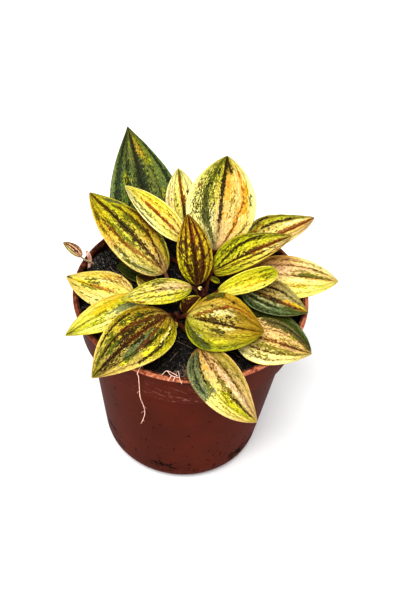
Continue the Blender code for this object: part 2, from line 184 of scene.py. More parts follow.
# All faces of a closed shape, whose last two points are the middles of its first and last row.
def closedFaces(rows, around):
    end = rows * around
    return [loopFaces(rows, around), fan(0, around, end), fan(end - around, around, end + 1)[:, ::-1]]


def angles(steps):    # once round, without the last one, which is the first one again
    return np.linspace(0, 2 * np.pi, steps, endpoint=False)


# Points in millimetres and faces become a smooth object. A shape whose volume comes out negative has its
# faces pointing in, so they are turned.
def makePiece(name, points, faces, finish=None):
    corners = [points[face[:, :3]] for face in faces]
    volume = sum(np.einsum("ij,ij->i", c[:, 0], np.cross(c[:, 1], c[:, 2])).sum() * (f.shape[1] - 2)
                 for c, f in zip(corners, faces))
    turned = [face[:, ::-1] if volume < 0 else face for face in faces]
    mesh = bpy.data.meshes.new(name)
    mesh.from_pydata((points * mm).tolist(), [], [row for face in turned for row in face.tolist()])
    mesh.shade_smooth()
    made = bpy.data.objects.new(name, mesh)
    scene.collection.objects.link(made)
    if finish:
        mesh.materials.append(finish)
    return made


# Points read along a smooth curve through the given ones: a cubic between each two, whose slope at each
# point is half the step from the point before to the point after.
def smoothRoute(points, perSpan):
    p = np.array(points, float)
    p = np.vstack([2 * p[0] - p[1], p, 2 * p[-1] - p[-2]])
    t = np.linspace(0, 1, perSpan, endpoint=False)[None, :, None]
    a, b, c, d = (p[i:len(p) - 3 + i, None] for i in range(4))
    curve = 0.5 * (2 * b + (c - a) * t + (2 * a - 5 * b + 4 * c - d) * t ** 2
                   + (3 * b - a - 3 * c + d) * t ** 3)
    return np.vstack([curve.reshape(-1, 3), p[-2]])


# A tube: circles of the given radii square to the route, closed by a fan at each end. side is a direction
# that the route never runs along.
def sweep(route, radii, side, sides):
    along = unit(np.gradient(route, axis=0))
    right = unit(np.cross(along, side))
    up = np.cross(right, along)
    turn = angles(sides)[:, None]
    radii = np.broadcast_to(np.asarray(radii, float).reshape(len(route), -1, 1), (len(route), sides, 1))
    rings = route[:, None] + radii * (np.cos(turn) * right[:, None] + np.sin(turn) * up[:, None])
    points = np.vstack([rings.reshape(-1, 3), route[0], route[-1]])
    return points, closedFaces(len(route), sides)


# Several shapes of points and faces become one, with the numbers in the faces moved along.
def gather(shapes):
    start, points, faces = 0, [], []
    for shapePoints, shapeFaces in shapes:
        points.append(shapePoints)
        faces += [face + start for face in shapeFaces]
        start += len(shapePoints)
    return np.vstack(points), faces


def setAttribute(made, name, kind, values):
    field = made.data.attributes.new(name, kind, "POINT")
    part = "color" if kind == "FLOAT_COLOR" else "vector"
    field.data.foreach_set(part, np.ascontiguousarray(values).ravel())


# Camera, at the photograph's angle
camera = dict(place=(0, -332.16, 433.73), aim=(5.08, 0, 99.02), roll=5.22, lens=54.92, sensor=36)


def makeCamera():
    data = bpy.data.cameras.new("camera")
    data.lens, data.sensor_width, data.clip_start = camera["lens"], camera["sensor"], 0.01
    made = bpy.data.objects.new("camera", data)
    scene.collection.objects.link(made)
    place, aim = Vector(camera["place"]) * mm, Vector(camera["aim"]) * mm
    turn = (aim - place).to_track_quat("-Z", "Y").to_matrix()
    turn = turn @ Matrix.Rotation(math.radians(camera["roll"]), 3, "Z")
    made.matrix_world = Matrix.Translation(place) @ turn.to_4x4()
    scene.camera = made


makeCamera()
print("camera placed")

# Leaf colours
tints = dict(
    lemon=paint(228, 214, 52), butter=paint(234, 222, 98), cream=paint(243, 233, 158),
    straw=paint(226, 198, 106), lime=paint(176, 178, 28), ochre=paint(166, 130, 20),
    brass=paint(168, 148, 28), gold=paint(204, 158, 28), orange=paint(226, 164, 62),
    peach=paint(230, 188, 126), pink=paint(202, 158, 112), blush=paint(216, 170, 148),
    mist=paint(176, 176, 128), tan=paint(172, 134, 60), khaki=paint(160, 140, 68),
    olive=paint(128, 112, 14), moss=paint(88, 94, 14), green=paint(72, 88, 24), leaf=paint(84, 106, 42),
    pine=paint(42, 54, 18), sage=paint(112, 126, 82), slate=paint(84, 100, 72), rust=paint(154, 80, 18),
    russet=paint(108, 52, 20), brown=paint(100, 62, 12), maroon=paint(62, 27, 7), umber=paint(34, 20, 5),
    ink=paint(34, 42, 26))
brightTints = ("lemon", "butter", "cream", "straw", "lime", "ochre", "brass", "gold", "orange", "peach",
               "pink", "blush", "mist")
brownTints = ("ink", "rust", "russet", "brown", "maroon", "umber", "tan", "khaki")

# The form that all leaves share, in millimetres. veins: place across as a share of the half width, depth
# and half width. A vein's valley is a narrow bell and one that is wider by veinSpread, in veinShares.
leafForm = dict(thickness=0.9, stalkRadius=1.1, stalkEnd=0.8, stalkPull=0.3, stalkRise=0.8, gap=0.3,
                tipBack=0.25, tipThin=0.9, tipFrom=0.9, lastRow=0.995, shape=(0.55, 0.85), smallWidth=10,
                fullWidth=20, columns=28, bladeRows=90, stalkRows=14, baseRound=0.03, flatWidth=2.2,
                ripple=0.16, ripplePace=(1.1, 0.7), ruffle=0.35, rufflePace=0.25, keel=0.6, keelWidth=1.1,
                ribShare=0.8, ribFrom=0.2, reliefWidth=(1, 7), veinShares=(0.4, 0.6), veinSpread=3,
                veins=((0, 0.75, 0.55), (0.45, 0.6, 0.6), (0.8, 0.36, 0.5)))

stemForm = dict(radius=2.2, tipShare=0.72, foot=84, straight=100.5, bends=4, lean=1.3, sides=20)
stems = dict(
    stem_back=dict(foot=(-2, 16), top=(-2, 19, 115)),
    stem_centre=dict(foot=(6, -4), top=(6, -6, 111)),
    stem_left=dict(foot=(-11, -3), top=(-12, -4, 109)),
    stem_front=dict(foot=(-7, -17), top=(-6, -20, 109)),
    stem_right=dict(foot=(17, 3), top=(19, 2, 110)))


def stemShare(stem, height):    # 0 where the stem still stands straight, and 1 at its top
    return np.maximum(0, (height - stemForm["straight"]) / (stem["top"][2] - stemForm["straight"]))


# A stem's axis: upright in the peat, then a lean that grows as a power of the height above it.
def stemAxis(stem, height):
    foot, top = np.array(stem["foot"], float), np.array(stem["top"][:2], float)
    share = np.asarray(stemShare(stem, height))[..., None]
    return np.concatenate([foot + (top - foot) * share ** stemForm["lean"],
                           np.asarray(height, float)[..., None]], -1)


# A stem thins evenly from its radius in the peat to tipShare of it at the top.
def stemRadius(stem, height):
    steps = (1 + stemForm["bends"] * stemShare(stem, height)) / (1 + stemForm["bends"])
    return stemForm["radius"] * (1 + (stemForm["tipShare"] - 1) * steps)


# Specks that lie all over a leaf, as a stroke that is wider than it, where a leaf has no dust of its own.
leafDust = [("moss", 0, 95, 0, 5, 130, 30), ("brown", 0, 95, 0, 5, 130, 16)]

# Leaves. Millimetres and degrees, as the solids have them. tones are the ground colours at places (across,
# along), and strokes are marks that run from one place to another with a half width and a cover, all of it
# in hundredths. Across goes from -100 at the left margin to 100 at the right one, and along from 0 at the
# base to 100 at the tip. dust is strokes too.
leaves = {}
leaves["leaf_back_left"] = dict(
    stem="stem_back", at=105, base=(-21, 33, 106), tip=(-41, 76, 150), width=41, arch=4, sway=-0.5, fold=12,
    cup=30, shape=(0.45, 1.05), margin="green", net=0.05, vein=0.35, cellShade=0.3, rim=0.2,
    dust=[("ink", 0, 90, 0, 10, 130, 36), ("sage", 0, 90, 0, 10, 80, 24), ("olive", 0, 90, 0, 10, 100, 30)],
    tones=[("leaf", -60, 50), ("green", 10, 45), ("olive", -10, 95), ("leaf", 80, 60), ("pine", 0, 10),
        ("leaf", -35, 65), ("lime", 35, 80), ("leaf", 55, 62), ("sage", 70, 35), ("leaf", -40, 30),
        ("sage", 40, 48), ("sage", -30, 75), ("green", -60, 80), ("moss", 15, 60), ("leaf", 85, 85)],
    strokes=[("ink", -70, 90, -80, 20, 10, 70), ("ink", 0, 98, -3, 55, 10, 85),
        ("ink", -3, 55, 0, 15, 17, 65), ("ink", 80, 82, 85, 20, 8, 70), ("ink", -40, 70, -45, 45, 6, 60),
        ("sage", -97, 70, -97, 20, 10, 60), ("lime", 26, 88, 42, 70, 20, 62),
        ("gold", 22, 82, 25, 78, 20, 90), ("orange", 24, 80, 26, 78, 10, 90),
        ("lime", -35, 86, -30, 83, 10, 60), ("lime", -50, 58, -42, 54, 14, 85),
        ("lime", 50, 40, 60, 36, 14, 55), ("gold", 56, 36, 60, 33, 7, 70), ("ink", 12, 70, 8, 50, 12, 55),
        ("lime", -10, 96, 10, 96, 12, 50)])
leaves["leaf_left_upper"] = dict(
    stem="stem_left", at=107, base=(-14, 8, 109), tip=(-57, 40, 132), width=31, arch=4, sway=-1, fold=14,
    cup=40, margin="straw", stalkTint=paint(150, 104, 84), shade=0.95, net=0.2, vein=0.38, cellShade=0.3,
    dust=[("umber", 0, 90, 0, 10, 120, 20), ("olive", 0, 90, 0, 10, 130, 30)],
    tones=[("gold", -80, 75), ("gold", -60, 55), ("lime", -35, 60), ("butter", -30, 30), ("mist", -85, 25),
        ("lime", 35, 75), ("straw", -60, 30), ("gold", -10, 92), ("lime", 30, 45), ("lime", 75, 75),
        ("gold", 70, 50), ("gold", 65, 30), ("pink", 0, 6), ("lime", 90, 12), ("butter", -35, 12),
        ("lime", -60, 85), ("peach", 15, 20), ("lemon", 25, 80), ("lemon", -35, 80)],
    strokes=[("brown", -8, 96, -5, 78, 12, 75), ("pine", 5, 100, -5, 96, 16, 80),
        ("umber", -8, 86, 0, 50, 16, 70), ("umber", -2, 75, 3, 40, 6, 60), ("umber", 0, 50, -2, 20, 14, 42),
        ("brown", 2, 45, 2, 5, 5, 60), ("umber", -15, 60, -10, 30, 12, 36),
        ("butter", -26, 60, -20, 18, 10, 70), ("moss", -45, 68, -38, 50, 10, 60),
        ("lime", -34, 64, -30, 34, 10, 80), ("olive", -80, 90, -85, 60, 14, 40),
        ("leaf", -36, 46, -30, 36, 7, 70), ("pine", -74, 80, -76, 74, 11, 75),
        ("brown", -62, 72, -50, 40, 6, 65), ("rust", -55, 60, -50, 40, 5, 70),
        ("rust", -50, 40, -15, 8, 5, 80), ("tan", -42, 40, -10, 6, 10, 40),
        ("mist", -90, 50, -70, 12, 8, 60), ("orange", -92, 60, -85, 45, 12, 80),
        ("gold", -90, 80, -85, 65, 12, 70), ("moss", -85, 45, -75, 30, 6, 65),
        ("green", -92, 32, -65, 6, 7, 75), ("green", 30, 62, 42, 35, 12, 60),
        ("pine", 38, 60, 42, 48, 7, 70), ("slate", 55, 84, 85, 76, 13, 85), ("pine", 40, 76, 50, 70, 9, 75),
        ("brown", 88, 64, 78, 36, 17, 78), ("rust", 80, 55, 78, 38, 8, 50),
        ("brown", 50, 72, 50, 35, 4.5, 60), ("maroon", 50, 40, 15, 6, 5, 75),
        ("moss", 85, 28, 75, 10, 12, 70), ("lime", 68, 22, 78, 10, 8, 70), ("lime", 15, 85, 25, 60, 12, 60),
        ("butter", 95, 25, 85, 8, 7, 70), ("gold", 30, 40, 22, 20, 10, 60)])
leaves["leaf_left_narrow"] = dict(
    stem="stem_back", at=113, base=(-5, 17, 124), tip=(-39, 43, 136), width=15, arch=4, sway=-0.5, roll=20,
    fold=20, cup=40, margin="cream", net=0.05, vein=0.35, cellShade=0.2, dust=[("olive", 0, 90, 0, 10, 130, 25)],
    tones=[("butter", 10, 60), ("butter", 30, 90), ("lemon", 45, 45), ("butter", -30, 30),
        ("cream", -80, 60), ("peach", 0, 20), ("lemon", 80, 60), ("mist", -85, 75), ("straw", 70, 20)],
    strokes=[("rust", 15, 84, 2, 50, 9, 50), ("rust", 6, 62, -2, 22, 17, 52),
        ("brown", 2, 50, 0, 10, 6, 45), ("orange", 10, 70, 5, 20, 30, 46),
        ("moss", -55, 80, -50, 40, 10, 60), ("brown", 50, 75, 55, 40, 4, 60),
        ("brown", 60, 40, 45, 5, 5, 70), ("slate", -90, 85, -88, 35, 12, 70),
        ("gold", 30, 70, 40, 30, 10, 50), ("moss", -40, 30, -30, 10, 8, 50),
        ("umber", 15, 88, 18, 86, 6, 70)])
leaves["leaf_back_small"] = dict(
    stem="stem_back", at=110, base=(-6, 37, 118), tip=(-12, 55, 141), width=19, arch=1, fold=12, cup=20,
    margin="cream", net=0.1, vein=0.35, cellShade=0.2, dust=[("olive", 0, 90, 0, 10, 130, 22)],
    tones=[("cream", -70, 60), ("butter", -35, 50), ("lime", 0, 99), ("cream", 50, 60), ("butter", -40, 25),
        ("lime", 75, 15), ("peach", 30, 40), ("cream", 60, 80), ("blush", -90, 40), ("cream", -50, 82)],
    strokes=[("rust", -5, 86, -2, 40, 10, 66), ("maroon", 2, 45, 8, 5, 12, 75),
        ("moss", -8, 99, 5, 86, 22, 70), ("russet", 0, 84, 2, 40, 5, 85),
        ("lime", -14, 84, -12, 60, 10, 50), ("moss", -40, 55, -30, 25, 6, 60),
        ("moss", 30, 30, 25, 10, 8, 60), ("umber", 34, 56, 40, 52, 8, 90),
        ("brown", -62, 70, -66, 40, 3.5, 70), ("gold", 14, 70, 16, 40, 8, 50),
        ("ink", 0, 26, 5, 10, 10, 60), ("russet", 12, 52, 16, 35, 6, 50)])
leaves["leaf_back_tall"] = dict(
    stem="stem_back", at=111, base=(10, 18, 118), tip=(13, 57, 150), width=37, arch=3, sway=0.5, fold=14,
    cup=30, shape=(0.65, 0.8), margin="cream", shade=0.86, net=0.05, vein=0.25, cellShade=0.22,
    dust=[("olive", 0, 90, 0, 10, 130, 24)],
    tones=[("butter", -50, 80), ("butter", -50, 50), ("cream", -70, 30), ("orange", 20, 75),
        ("cream", -90, 60), ("cream", 95, 60), ("butter", 60, 92), ("peach", 15, 45), ("straw", 42, 50),
        ("cream", 90, 70), ("straw", 75, 35), ("peach", 25, 20), ("mist", -25, 20), ("straw", 90, 30),
        ("lime", -20, 75), ("lime", -60, 95)],
    strokes=[("green", -55, 92, -55, 35, 36, 34), ("ink", -25, 92, -25, 35, 22, 36),
        ("umber", -62, 88, -70, 40, 30, 38), ("lime", -40, 85, -40, 50, 30, 45),
        ("green", -35, 95, -40, 70, 24, 40), ("pine", -50, 60, -40, 30, 10, 90),
        ("pine", -42, 34, -12, 6, 9, 85), ("umber", 0, 99, -3, 66, 7, 100),
        ("umber", -3, 72, 2, 30, 4.5, 95), ("brown", 2, 32, 8, 10, 4, 70), ("pine", 6, 97, 25, 85, 16, 85),
        ("umber", 10, 95, 28, 83, 9, 75), ("moss", -8, 99, 10, 95, 14, 70), ("rust", 60, 90, 60, 50, 5, 60),
        ("russet", 60, 50, 40, 10, 5, 70), ("olive", 30, 56, 26, 36, 3.5, 55),
        ("orange", 14, 70, 14, 30, 8, 70), ("moss", 85, 32, 66, 10, 6, 50),
        ("olive", 36, 66, 34, 50, 3, 50), ("gold", 72, 70, 68, 40, 8, 80),
        ("orange", 58, 80, 50, 22, 10, 85), ("green", 84, 60, 82, 50, 5, 60),
        ("cream", -28, 40, -15, 12, 9, 75), ("cream", 42, 85, 48, 50, 6, 60),
        ("rust", -74, 67, -72, 63, 4, 60), ("orange", 18, 85, 18, 60, 14, 60)])
leaves["leaf_crown_dark"] = dict(
    stem="stem_centre", at=107, base=(3, -4, 114), tip=(-5, 22, 138), width=19, arch=3, fold=20, cup=40,
    margin="ochre", shade=1.12, net=1, vein=0.95, cellShade=0.45, dust=[("maroon", 0, 95, 0, 5, 130, 24)],
    tones=[("brass", 30, 60), ("ochre", 10, 90), ("brass", -40, 50), ("lime", -90, 30), ("lime", -50, 30),
        ("brass", 85, 20), ("gold", 40, 85), ("gold", -25, 75), ("brass", 75, 50), ("brass", -80, 55),
        ("brass", -30, 25), ("ochre", 35, 30)],
    strokes=[("russet", -4, 97, -2, 55, 10, 90), ("maroon", -2, 60, 0, 3, 14, 98),
        ("maroon", 6, 62, 45, 74, 5, 70), ("maroon", 6, 45, 50, 60, 5, 75),
        ("maroon", 10, 28, 50, 42, 5, 75), ("maroon", 50, 55, 90, 68, 4, 65),
        ("maroon", 50, 35, 95, 48, 4, 70), ("maroon", -10, 50, -60, 62, 5, 70),
        ("maroon", -10, 32, -62, 46, 5, 70), ("maroon", -70, 50, -100, 58, 4, 65),
        ("maroon", -75, 70, -62, 30, 6, 75), ("maroon", -62, 30, -20, 5, 10, 85),
        ("russet", 45, 90, 47, 50, 6, 80), ("maroon", 46, 50, 25, 5, 8, 85),
        ("maroon", 20, 26, 25, 6, 30, 50), ("maroon", -20, 24, -15, 6, 30, 50),
        ("umber", 0, 50, 0, 10, 5, 90), ("rust", 10, 85, 8, 55, 5, 50), ("gold", 22, 80, 22, 45, 6, 50),
        ("maroon", -42, 80, -40, 50, 4, 60)])
leaves["leaf_right_upper"] = dict(
    stem="stem_right", at=107.5, base=(23, 24, 113), tip=(62, 43, 125), width=26, arch=5, sway=4.5,
    skew=0.4, fold=14, cup=40, margin="peach", net=0.15, vein=0.45, cellShade=0.22,
    dust=[("umber", 0, 95, 0, 5, 130, 16), ("olive", -70, 90, -70, 10, 40, 34)],
    tones=[("lime", -80, 50), ("lime", -70, 25), ("straw", -25, 70), ("peach", 10, 95), ("peach", 50, 70),
        ("orange", 50, 30), ("cream", 90, 50), ("butter", 30, 55), ("lime", -80, 75), ("cream", -20, 45),
        ("pink", 75, 80), ("gold", -45, 40), ("olive", -55, 60)],
    strokes=[("rust", 3, 97, 2, 50, 13, 90), ("russet", 2, 92, 0, 50, 8, 80),
        ("umber", -50, 76, -45, 35, 6, 85), ("olive", -82, 70, -80, 20, 12, 50),
        ("umber", 10, 99, 20, 96, 8, 85), ("brown", 60, 60, 50, 10, 5, 70),
        ("umber", -88, 50, -70, 20, 6, 75), ("orange", 22, 90, 20, 50, 9, 70),
        ("moss", -60, 88, -55, 72, 12, 50), ("lime", -66, 70, -62, 30, 14, 66),
        ("rust", -60, 40, -50, 20, 5, 60), ("green", -90, 85, -85, 65, 8, 60),
        ("cream", -25, 85, -22, 60, 10, 70), ("brown", -30, 50, -30, 30, 4, 50)])
leaves["leaf_crown_right"] = dict(
    stem="stem_centre", at=108, base=(10, 3, 118), tip=(49, 22, 129), width=24, arch=5, sway=3, skew=0.28,
    fold=25, cup=60, shape=(0.45, 0.8), margin="ochre", net=0.7, vein=0.7, cellShade=0.3,
    dust=[("umber", 0, 95, 0, 5, 130, 12), ("olive", -30, 95, -30, 5, 80, 24)],
    tones=[("lime", -80, 50), ("lime", -25, 62), ("lime", -30, 45), ("straw", 30, 85), ("peach", 60, 85),
        ("butter", 80, 60), ("ochre", 5, 40), ("lime", 50, 20), ("lime", -30, 15), ("straw", 45, 60),
        ("lime", 85, 30), ("olive", -90, 75), ("lemon", 35, 40)],
    strokes=[("umber", -85, 80, -65, 55, 3.5, 80), ("umber", -58, 70, -42, 35, 5, 95),
        ("umber", -42, 38, -10, 6, 5.5, 95), ("brown", 0, 92, 6, 62, 8, 70),
        ("rust", 6, 84, 12, 48, 18, 66), ("umber", 0, 56, 3, 34, 13, 60), ("umber", 5, 50, 5, 8, 6, 90),
        ("brown", 45, 60, 25, 8, 5, 80), ("moss", -75, 70, -70, 30, 12, 40),
        ("moss", -30, 34, -20, 12, 8, 50), ("pine", -75, 40, -50, 15, 10, 60),
        ("brown", 95, 90, 85, 50, 5, 85), ("brown", 72, 40, 55, 12, 4, 65),
        ("lemon", -26, 78, -26, 44, 8, 55), ("lime", -25, 40, -15, 20, 10, 70),
        ("cream", 45, 92, 42, 60, 12, 80), ("lemon", 35, 45, 30, 15, 10, 70),
        ("pink", 75, 85, 70, 65, 10, 60), ("umber", -5, 30, -50, 46, 4, 70),
        ("umber", -5, 50, -50, 66, 4, 70), ("brown", 5, 40, 60, 55, 3.5, 70),
        ("brown", 5, 60, 60, 72, 3.5, 65)])
leaves["leaf_right_pale"] = dict(
    stem="stem_right", at=103.5, base=(26, 15, 107), tip=(75, 9, 112), width=28, arch=2, roll=-15, fold=10,
    cup=40, shape=(0.65, 0.8), margin="straw", net=0.05, vein=0.25, cellShade=0.18,
    dust=[("olive", 0, 90, 0, 30, 120, 26)],
    tones=[("peach", -50, 55), ("peach", -30, 70), ("cream", -80, 80), ("butter", 50, 75),
        ("straw", 35, 50), ("straw", 0, 95), ("orange", -80, 35), ("butter", 70, 40), ("blush", -20, 40),
        ("cream", 30, 65), ("peach", 15, 35)],
    strokes=[("brown", -50, 80, -42, 50, 5, 55), ("brown", -45, 50, -30, 20, 7, 60),
        ("brown", 0, 92, 0, 30, 3, 66), ("moss", -10, 88, -8, 55, 13, 56), ("pine", -5, 82, -3, 62, 9, 60),
        ("lime", -14, 82, -12, 64, 7, 55), ("orange", 10, 92, 10, 66, 7, 80),
        ("olive", -45, 86, -42, 74, 10, 60), ("lime", 60, 85, 55, 60, 6, 60),
        ("gold", 45, 70, 40, 35, 7, 60), ("moss", 50, 40, 35, 15, 12, 60),
        ("brown", -80, 30, -45, 10, 14, 60), ("olive", -75, 80, -65, 40, 10, 45),
        ("pink", -20, 70, -20, 35, 10, 50), ("moss", 80, 50, 70, 30, 10, 40),
        ("cream", 22, 75, 22, 50, 8, 60), ("russet", -70, 50, -66, 30, 3.5, 60)])
leaves["leaf_crown_yellow"] = dict(
    stem="stem_centre", at=106, base=(13, -14, 120), tip=(42, -1, 125), width=12, arch=3, roll=-40, fold=20,
    cup=60, shape=(0.45, 0.36), margin="butter", net=0.02, vein=0.15, cellShade=0.1,
    dust=[("olive", 0, 90, 0, 30, 120, 18)],
    tones=[("lemon", 0, 50), ("lime", -60, 70), ("lime", 10, 85), ("butter", 40, 20), ("butter", 60, 55),
        ("lemon", -30, 30), ("lime", -60, 20), ("brass", -50, 50)],
    strokes=[("olive", -5, 93, 5, 75, 20, 60), ("moss", -50, 90, -45, 70, 14, 60),
        ("green", 20, 88, 30, 76, 10, 60), ("lime", 10, 98, 10, 70, 40, 50),
        ("brown", 90, 97, 95, 70, 5, 70), ("olive", -20, 60, -15, 30, 10, 60),
        ("umber", 78, 72, 80, 70, 7, 90), ("gold", 40, 80, 30, 40, 16, 70),
        ("brown", 95, 80, 95, 30, 6, 70), ("lime", -70, 50, -50, 20, 20, 50)])
leaves["leaf_right_green"] = dict(
    stem="stem_right", at=109, base=(26, 1, 111), tip=(59, -14, 111), width=23, arch=3, sway=2.5, skew=0.18,
    roll=-10, fold=10, cup=40, margin="sage", shade=0.93, net=0.1, vein=0.45, cellShade=0.3,
    dust=[("pine", 50, 90, 50, 10, 60, 38), ("umber", -40, 90, -40, 10, 60, 24)],
    tones=[("khaki", -50, 50), ("khaki", -30, 25), ("gold", -5, 95), ("olive", -85, 40), ("sage", 50, 70),
        ("sage", 70, 30), ("sage", 90, 50), ("mist", -35, 72), ("khaki", -25, 50), ("pink", -50, 35),
        ("leaf", 70, 85), ("straw", -85, 80), ("sage", -55, 66), ("tan", -15, 40)],
    strokes=[("lemon", -20, 99, -22, 82, 9, 90), ("gold", -12, 90, -10, 64, 11, 80),
        ("orange", -16, 80, -14, 66, 7, 60), ("rust", -2, 92, 0, 55, 5, 70), ("umber", 0, 60, 0, 44, 8, 75),
        ("brown", -4, 44, 0, 15, 5, 60), ("umber", 10, 86, 10, 60, 5, 70),
        ("umber", -52, 62, -40, 25, 4.5, 65), ("moss", -42, 86, -40, 70, 8, 55),
        ("pine", -25, 50, -18, 20, 5, 60), ("pine", 50, 60, 40, 20, 7, 70),
        ("pine", 92, 75, 85, 25, 10, 70), ("pine", 14, 55, 8, 15, 8, 70), ("mist", 30, 60, 25, 15, 5, 75),
        ("mist", 62, 50, 58, 15, 4.5, 70), ("cream", 5, 40, 5, 15, 4, 50), ("green", 20, 80, 30, 70, 10, 60)])
leaves["leaf_front_round"] = dict(
    stem="stem_front", at=107, base=(-1, -28, 116), tip=(36, -38, 120), width=32, arch=3, sway=1.5,
    skew=0.1, roll=-24, fold=10, cup=35, shape=(0.5, 0.8), margin="lime", net=0.15, vein=0.36, cellShade=0.2,
    rim=0.5, shade=0.64, dust=[("umber", -10, 60, -10, 20, 40, 26), ("olive", 0, 90, 0, 10, 130, 28)],
    tones=[("ochre", -50, 80), ("ochre", -30, 72), ("gold", -85, 60), ("straw", -30, 42), ("gold", 50, 88),
        ("gold", 30, 62), ("lime", 80, 50), ("gold", -75, 35), ("lime", 50, 20), ("lime", 90, 20),
        ("brass", -20, 80), ("gold", -85, 85), ("lime", 65, 70), ("gold", -20, 95), ("straw", 20, 50),
        ("butter", -10, 30), ("lime", 90, 75)],
    strokes=[("rust", -66, 85, -55, 50, 4, 80), ("rust", -55, 50, -12, 10, 5, 85),
        ("brown", 4, 96, 2, 60, 4, 85), ("maroon", 2, 62, 0, 15, 3.5, 75),
        ("umber", -10, 60, -6, 30, 9, 40), ("umber", -28, 58, -24, 52, 5, 50),
        ("brown", -10, 36, -8, 15, 8, 40), ("umber", -74, 56, -74, 53, 5, 80),
        ("pine", -86, 36, -74, 16, 10, 80), ("green", -95, 34, -90, 16, 10, 75),
        ("pine", 32, 52, 26, 42, 8, 95), ("pine", 30, 42, 20, 28, 5, 50), ("moss", -30, 72, -26, 64, 7, 45),
        ("cream", -34, 56, -28, 34, 13, 75), ("cream", 14, 66, 14, 50, 6, 80),
        ("pine", 78, 36, 50, 4, 7, 90), ("mist", 66, 28, 46, 8, 5, 75), ("leaf", 90, 40, 66, 6, 10, 60),
        ("mist", 86, 36, 74, 16, 4, 70), ("green", 97, 40, 80, 8, 5, 60), ("green", 85, 72, 86, 40, 12, 36),
        ("lime", 92, 70, 90, 35, 7, 75), ("brown", 48, 84, 48, 40, 3, 60), ("lemon", 40, 85, 42, 65, 8, 60),
        ("ochre", -45, 95, -50, 60, 15, 60), ("lemon", 70, 60, 66, 40, 7, 50)])
leaves["leaf_right_shaded"] = dict(
    stem="stem_right", at=102.5, base=(30, -12, 106), tip=(60, -37, 107.5), width=22, arch=1.5, fold=10,
    cup=30, margin="sage", net=0.1, vein=0.4,
    tones=[("pine", -50, 60), ("green", -80, 80), ("pine", 30, 50), ("green", 0, 90)],
    strokes=[("sage", -85, 85, -80, 50, 10, 50), ("pine", -30, 90, -30, 30, 30, 60)])
leaves["leaf_right_low"] = dict(
    stem="stem_right", at=106, base=(23, -30, 110), tip=(59, -44, 114), width=26, arch=1.5, roll=-20,
    fold=10, cup=40, margin="straw", shade=0.93, net=0.05, vein=0.38, cellShade=0.2, rim=0.2,
    dust=[("umber", 0, 90, 0, 10, 130, 16), ("olive", 0, 90, 0, 10, 130, 32)],
    tones=[("peach", -20, 70), ("tan", 5, 85), ("straw", 30, 60), ("straw", 70, 80), ("cream", 90, 50),
        ("peach", -35, 45), ("tan", 30, 35), ("peach", -40, 75), ("cream", 60, 40), ("cream", 95, 80),
        ("peach", -30, 85), ("straw", 20, 75)],
    strokes=[("brown", 3, 97, 0, 60, 6, 85), ("rust", 0, 66, -3, 30, 6, 55),
        ("pine", -66, 98, -70, 75, 14, 95), ("pine", -74, 80, -76, 40, 20, 100),
        ("pine", -98, 90, -98, 30, 26, 100), ("lime", -48, 86, -50, 66, 5, 60),
        ("ink", -82, 85, -80, 40, 4, 60), ("sage", -90, 75, -92, 55, 6, 50),
        ("moss", 45, 85, 35, 50, 14, 42), ("moss", 30, 45, 25, 25, 12, 42),
        ("brown", 52, 70, 45, 25, 3.5, 55), ("brown", 80, 60, 75, 30, 3, 45),
        ("olive", -20, 90, -15, 60, 8, 40), ("pink", 20, 80, 15, 55, 12, 60),
        ("olive", 70, 50, 60, 30, 10, 50), ("cream", 90, 75, 90, 35, 6, 60),
        ("olive", 30, 75, 25, 40, 5, 60), ("green", -30, 98, -35, 92, 10, 70)])
leaves["leaf_front_hanging"] = dict(
    stem="stem_front", at=103, base=(6, -41, 109), tip=(36, -69, 90.5), width=24, arch=10, sway=4.5,
    skew=-0.12, roll=-12, fold=10, cup=18, margin="peach", net=0.03, vein=0.36, cellShade=0.16, rim=0.1,
    shade=0.88, dust=[("umber", 0, 80, 0, 20, 80, 12), ("olive", 0, 90, 0, 10, 90, 28)],
    tones=[("blush", -25, 78), ("peach", 5, 30), ("blush", -20, 50), ("brass", -75, 30), ("straw", 65, 75),
        ("lemon", 25, 93), ("straw", -70, 80), ("khaki", -60, 12), ("khaki", -80, 55), ("straw", 85, 85),
        ("tan", 30, 15), ("cream", 85, 60), ("butter", 50, 55), ("lemon", 30, 70)],
    strokes=[("slate", 100, 46, 90, 10, 26, 100), ("slate", 80, 42, 42, 0, 19, 100),
        ("ink", 56, 40, 30, 6, 4.5, 75), ("ink", 80, 44, 62, 6, 4.5, 75), ("ink", 90, 40, 84, 15, 3.5, 50),
        ("green", 60, 50, 48, 38, 8, 80), ("sage", 100, 46, 98, 10, 10, 100),
        ("sage", 70, 34, 52, 10, 5, 55), ("moss", 14, 66, 8, 42, 8, 44), ("umber", 6, 90, 10, 62, 7, 56),
        ("olive", 12, 94, 12, 60, 8, 60), ("lime", 32, 88, 30, 55, 14, 90),
        ("lemon", 34, 80, 32, 60, 9, 60), ("olive", 32, 66, 30, 50, 8, 50),
        ("brown", -35, 90, -40, 40, 3.5, 60), ("brown", -42, 40, -8, 6, 5, 70),
        ("olive", -42, 66, -40, 25, 12, 56), ("russet", 8, 30, 2, 4, 4, 50),
        ("mist", 42, 50, 32, 30, 8, 50), ("peach", 12, 35, 6, 10, 6, 60), ("orange", 25, 30, 10, 4, 6, 60),
        ("olive", 70, 85, 62, 56, 3.5, 60), ("brown", -12, 30, 0, 6, 4, 60),
        ("moss", -65, 50, -55, 30, 10, 40), ("cream", -12, 80, -10, 50, 10, 60),
        ("olive", -2, 60, 0, 30, 6, 50)])
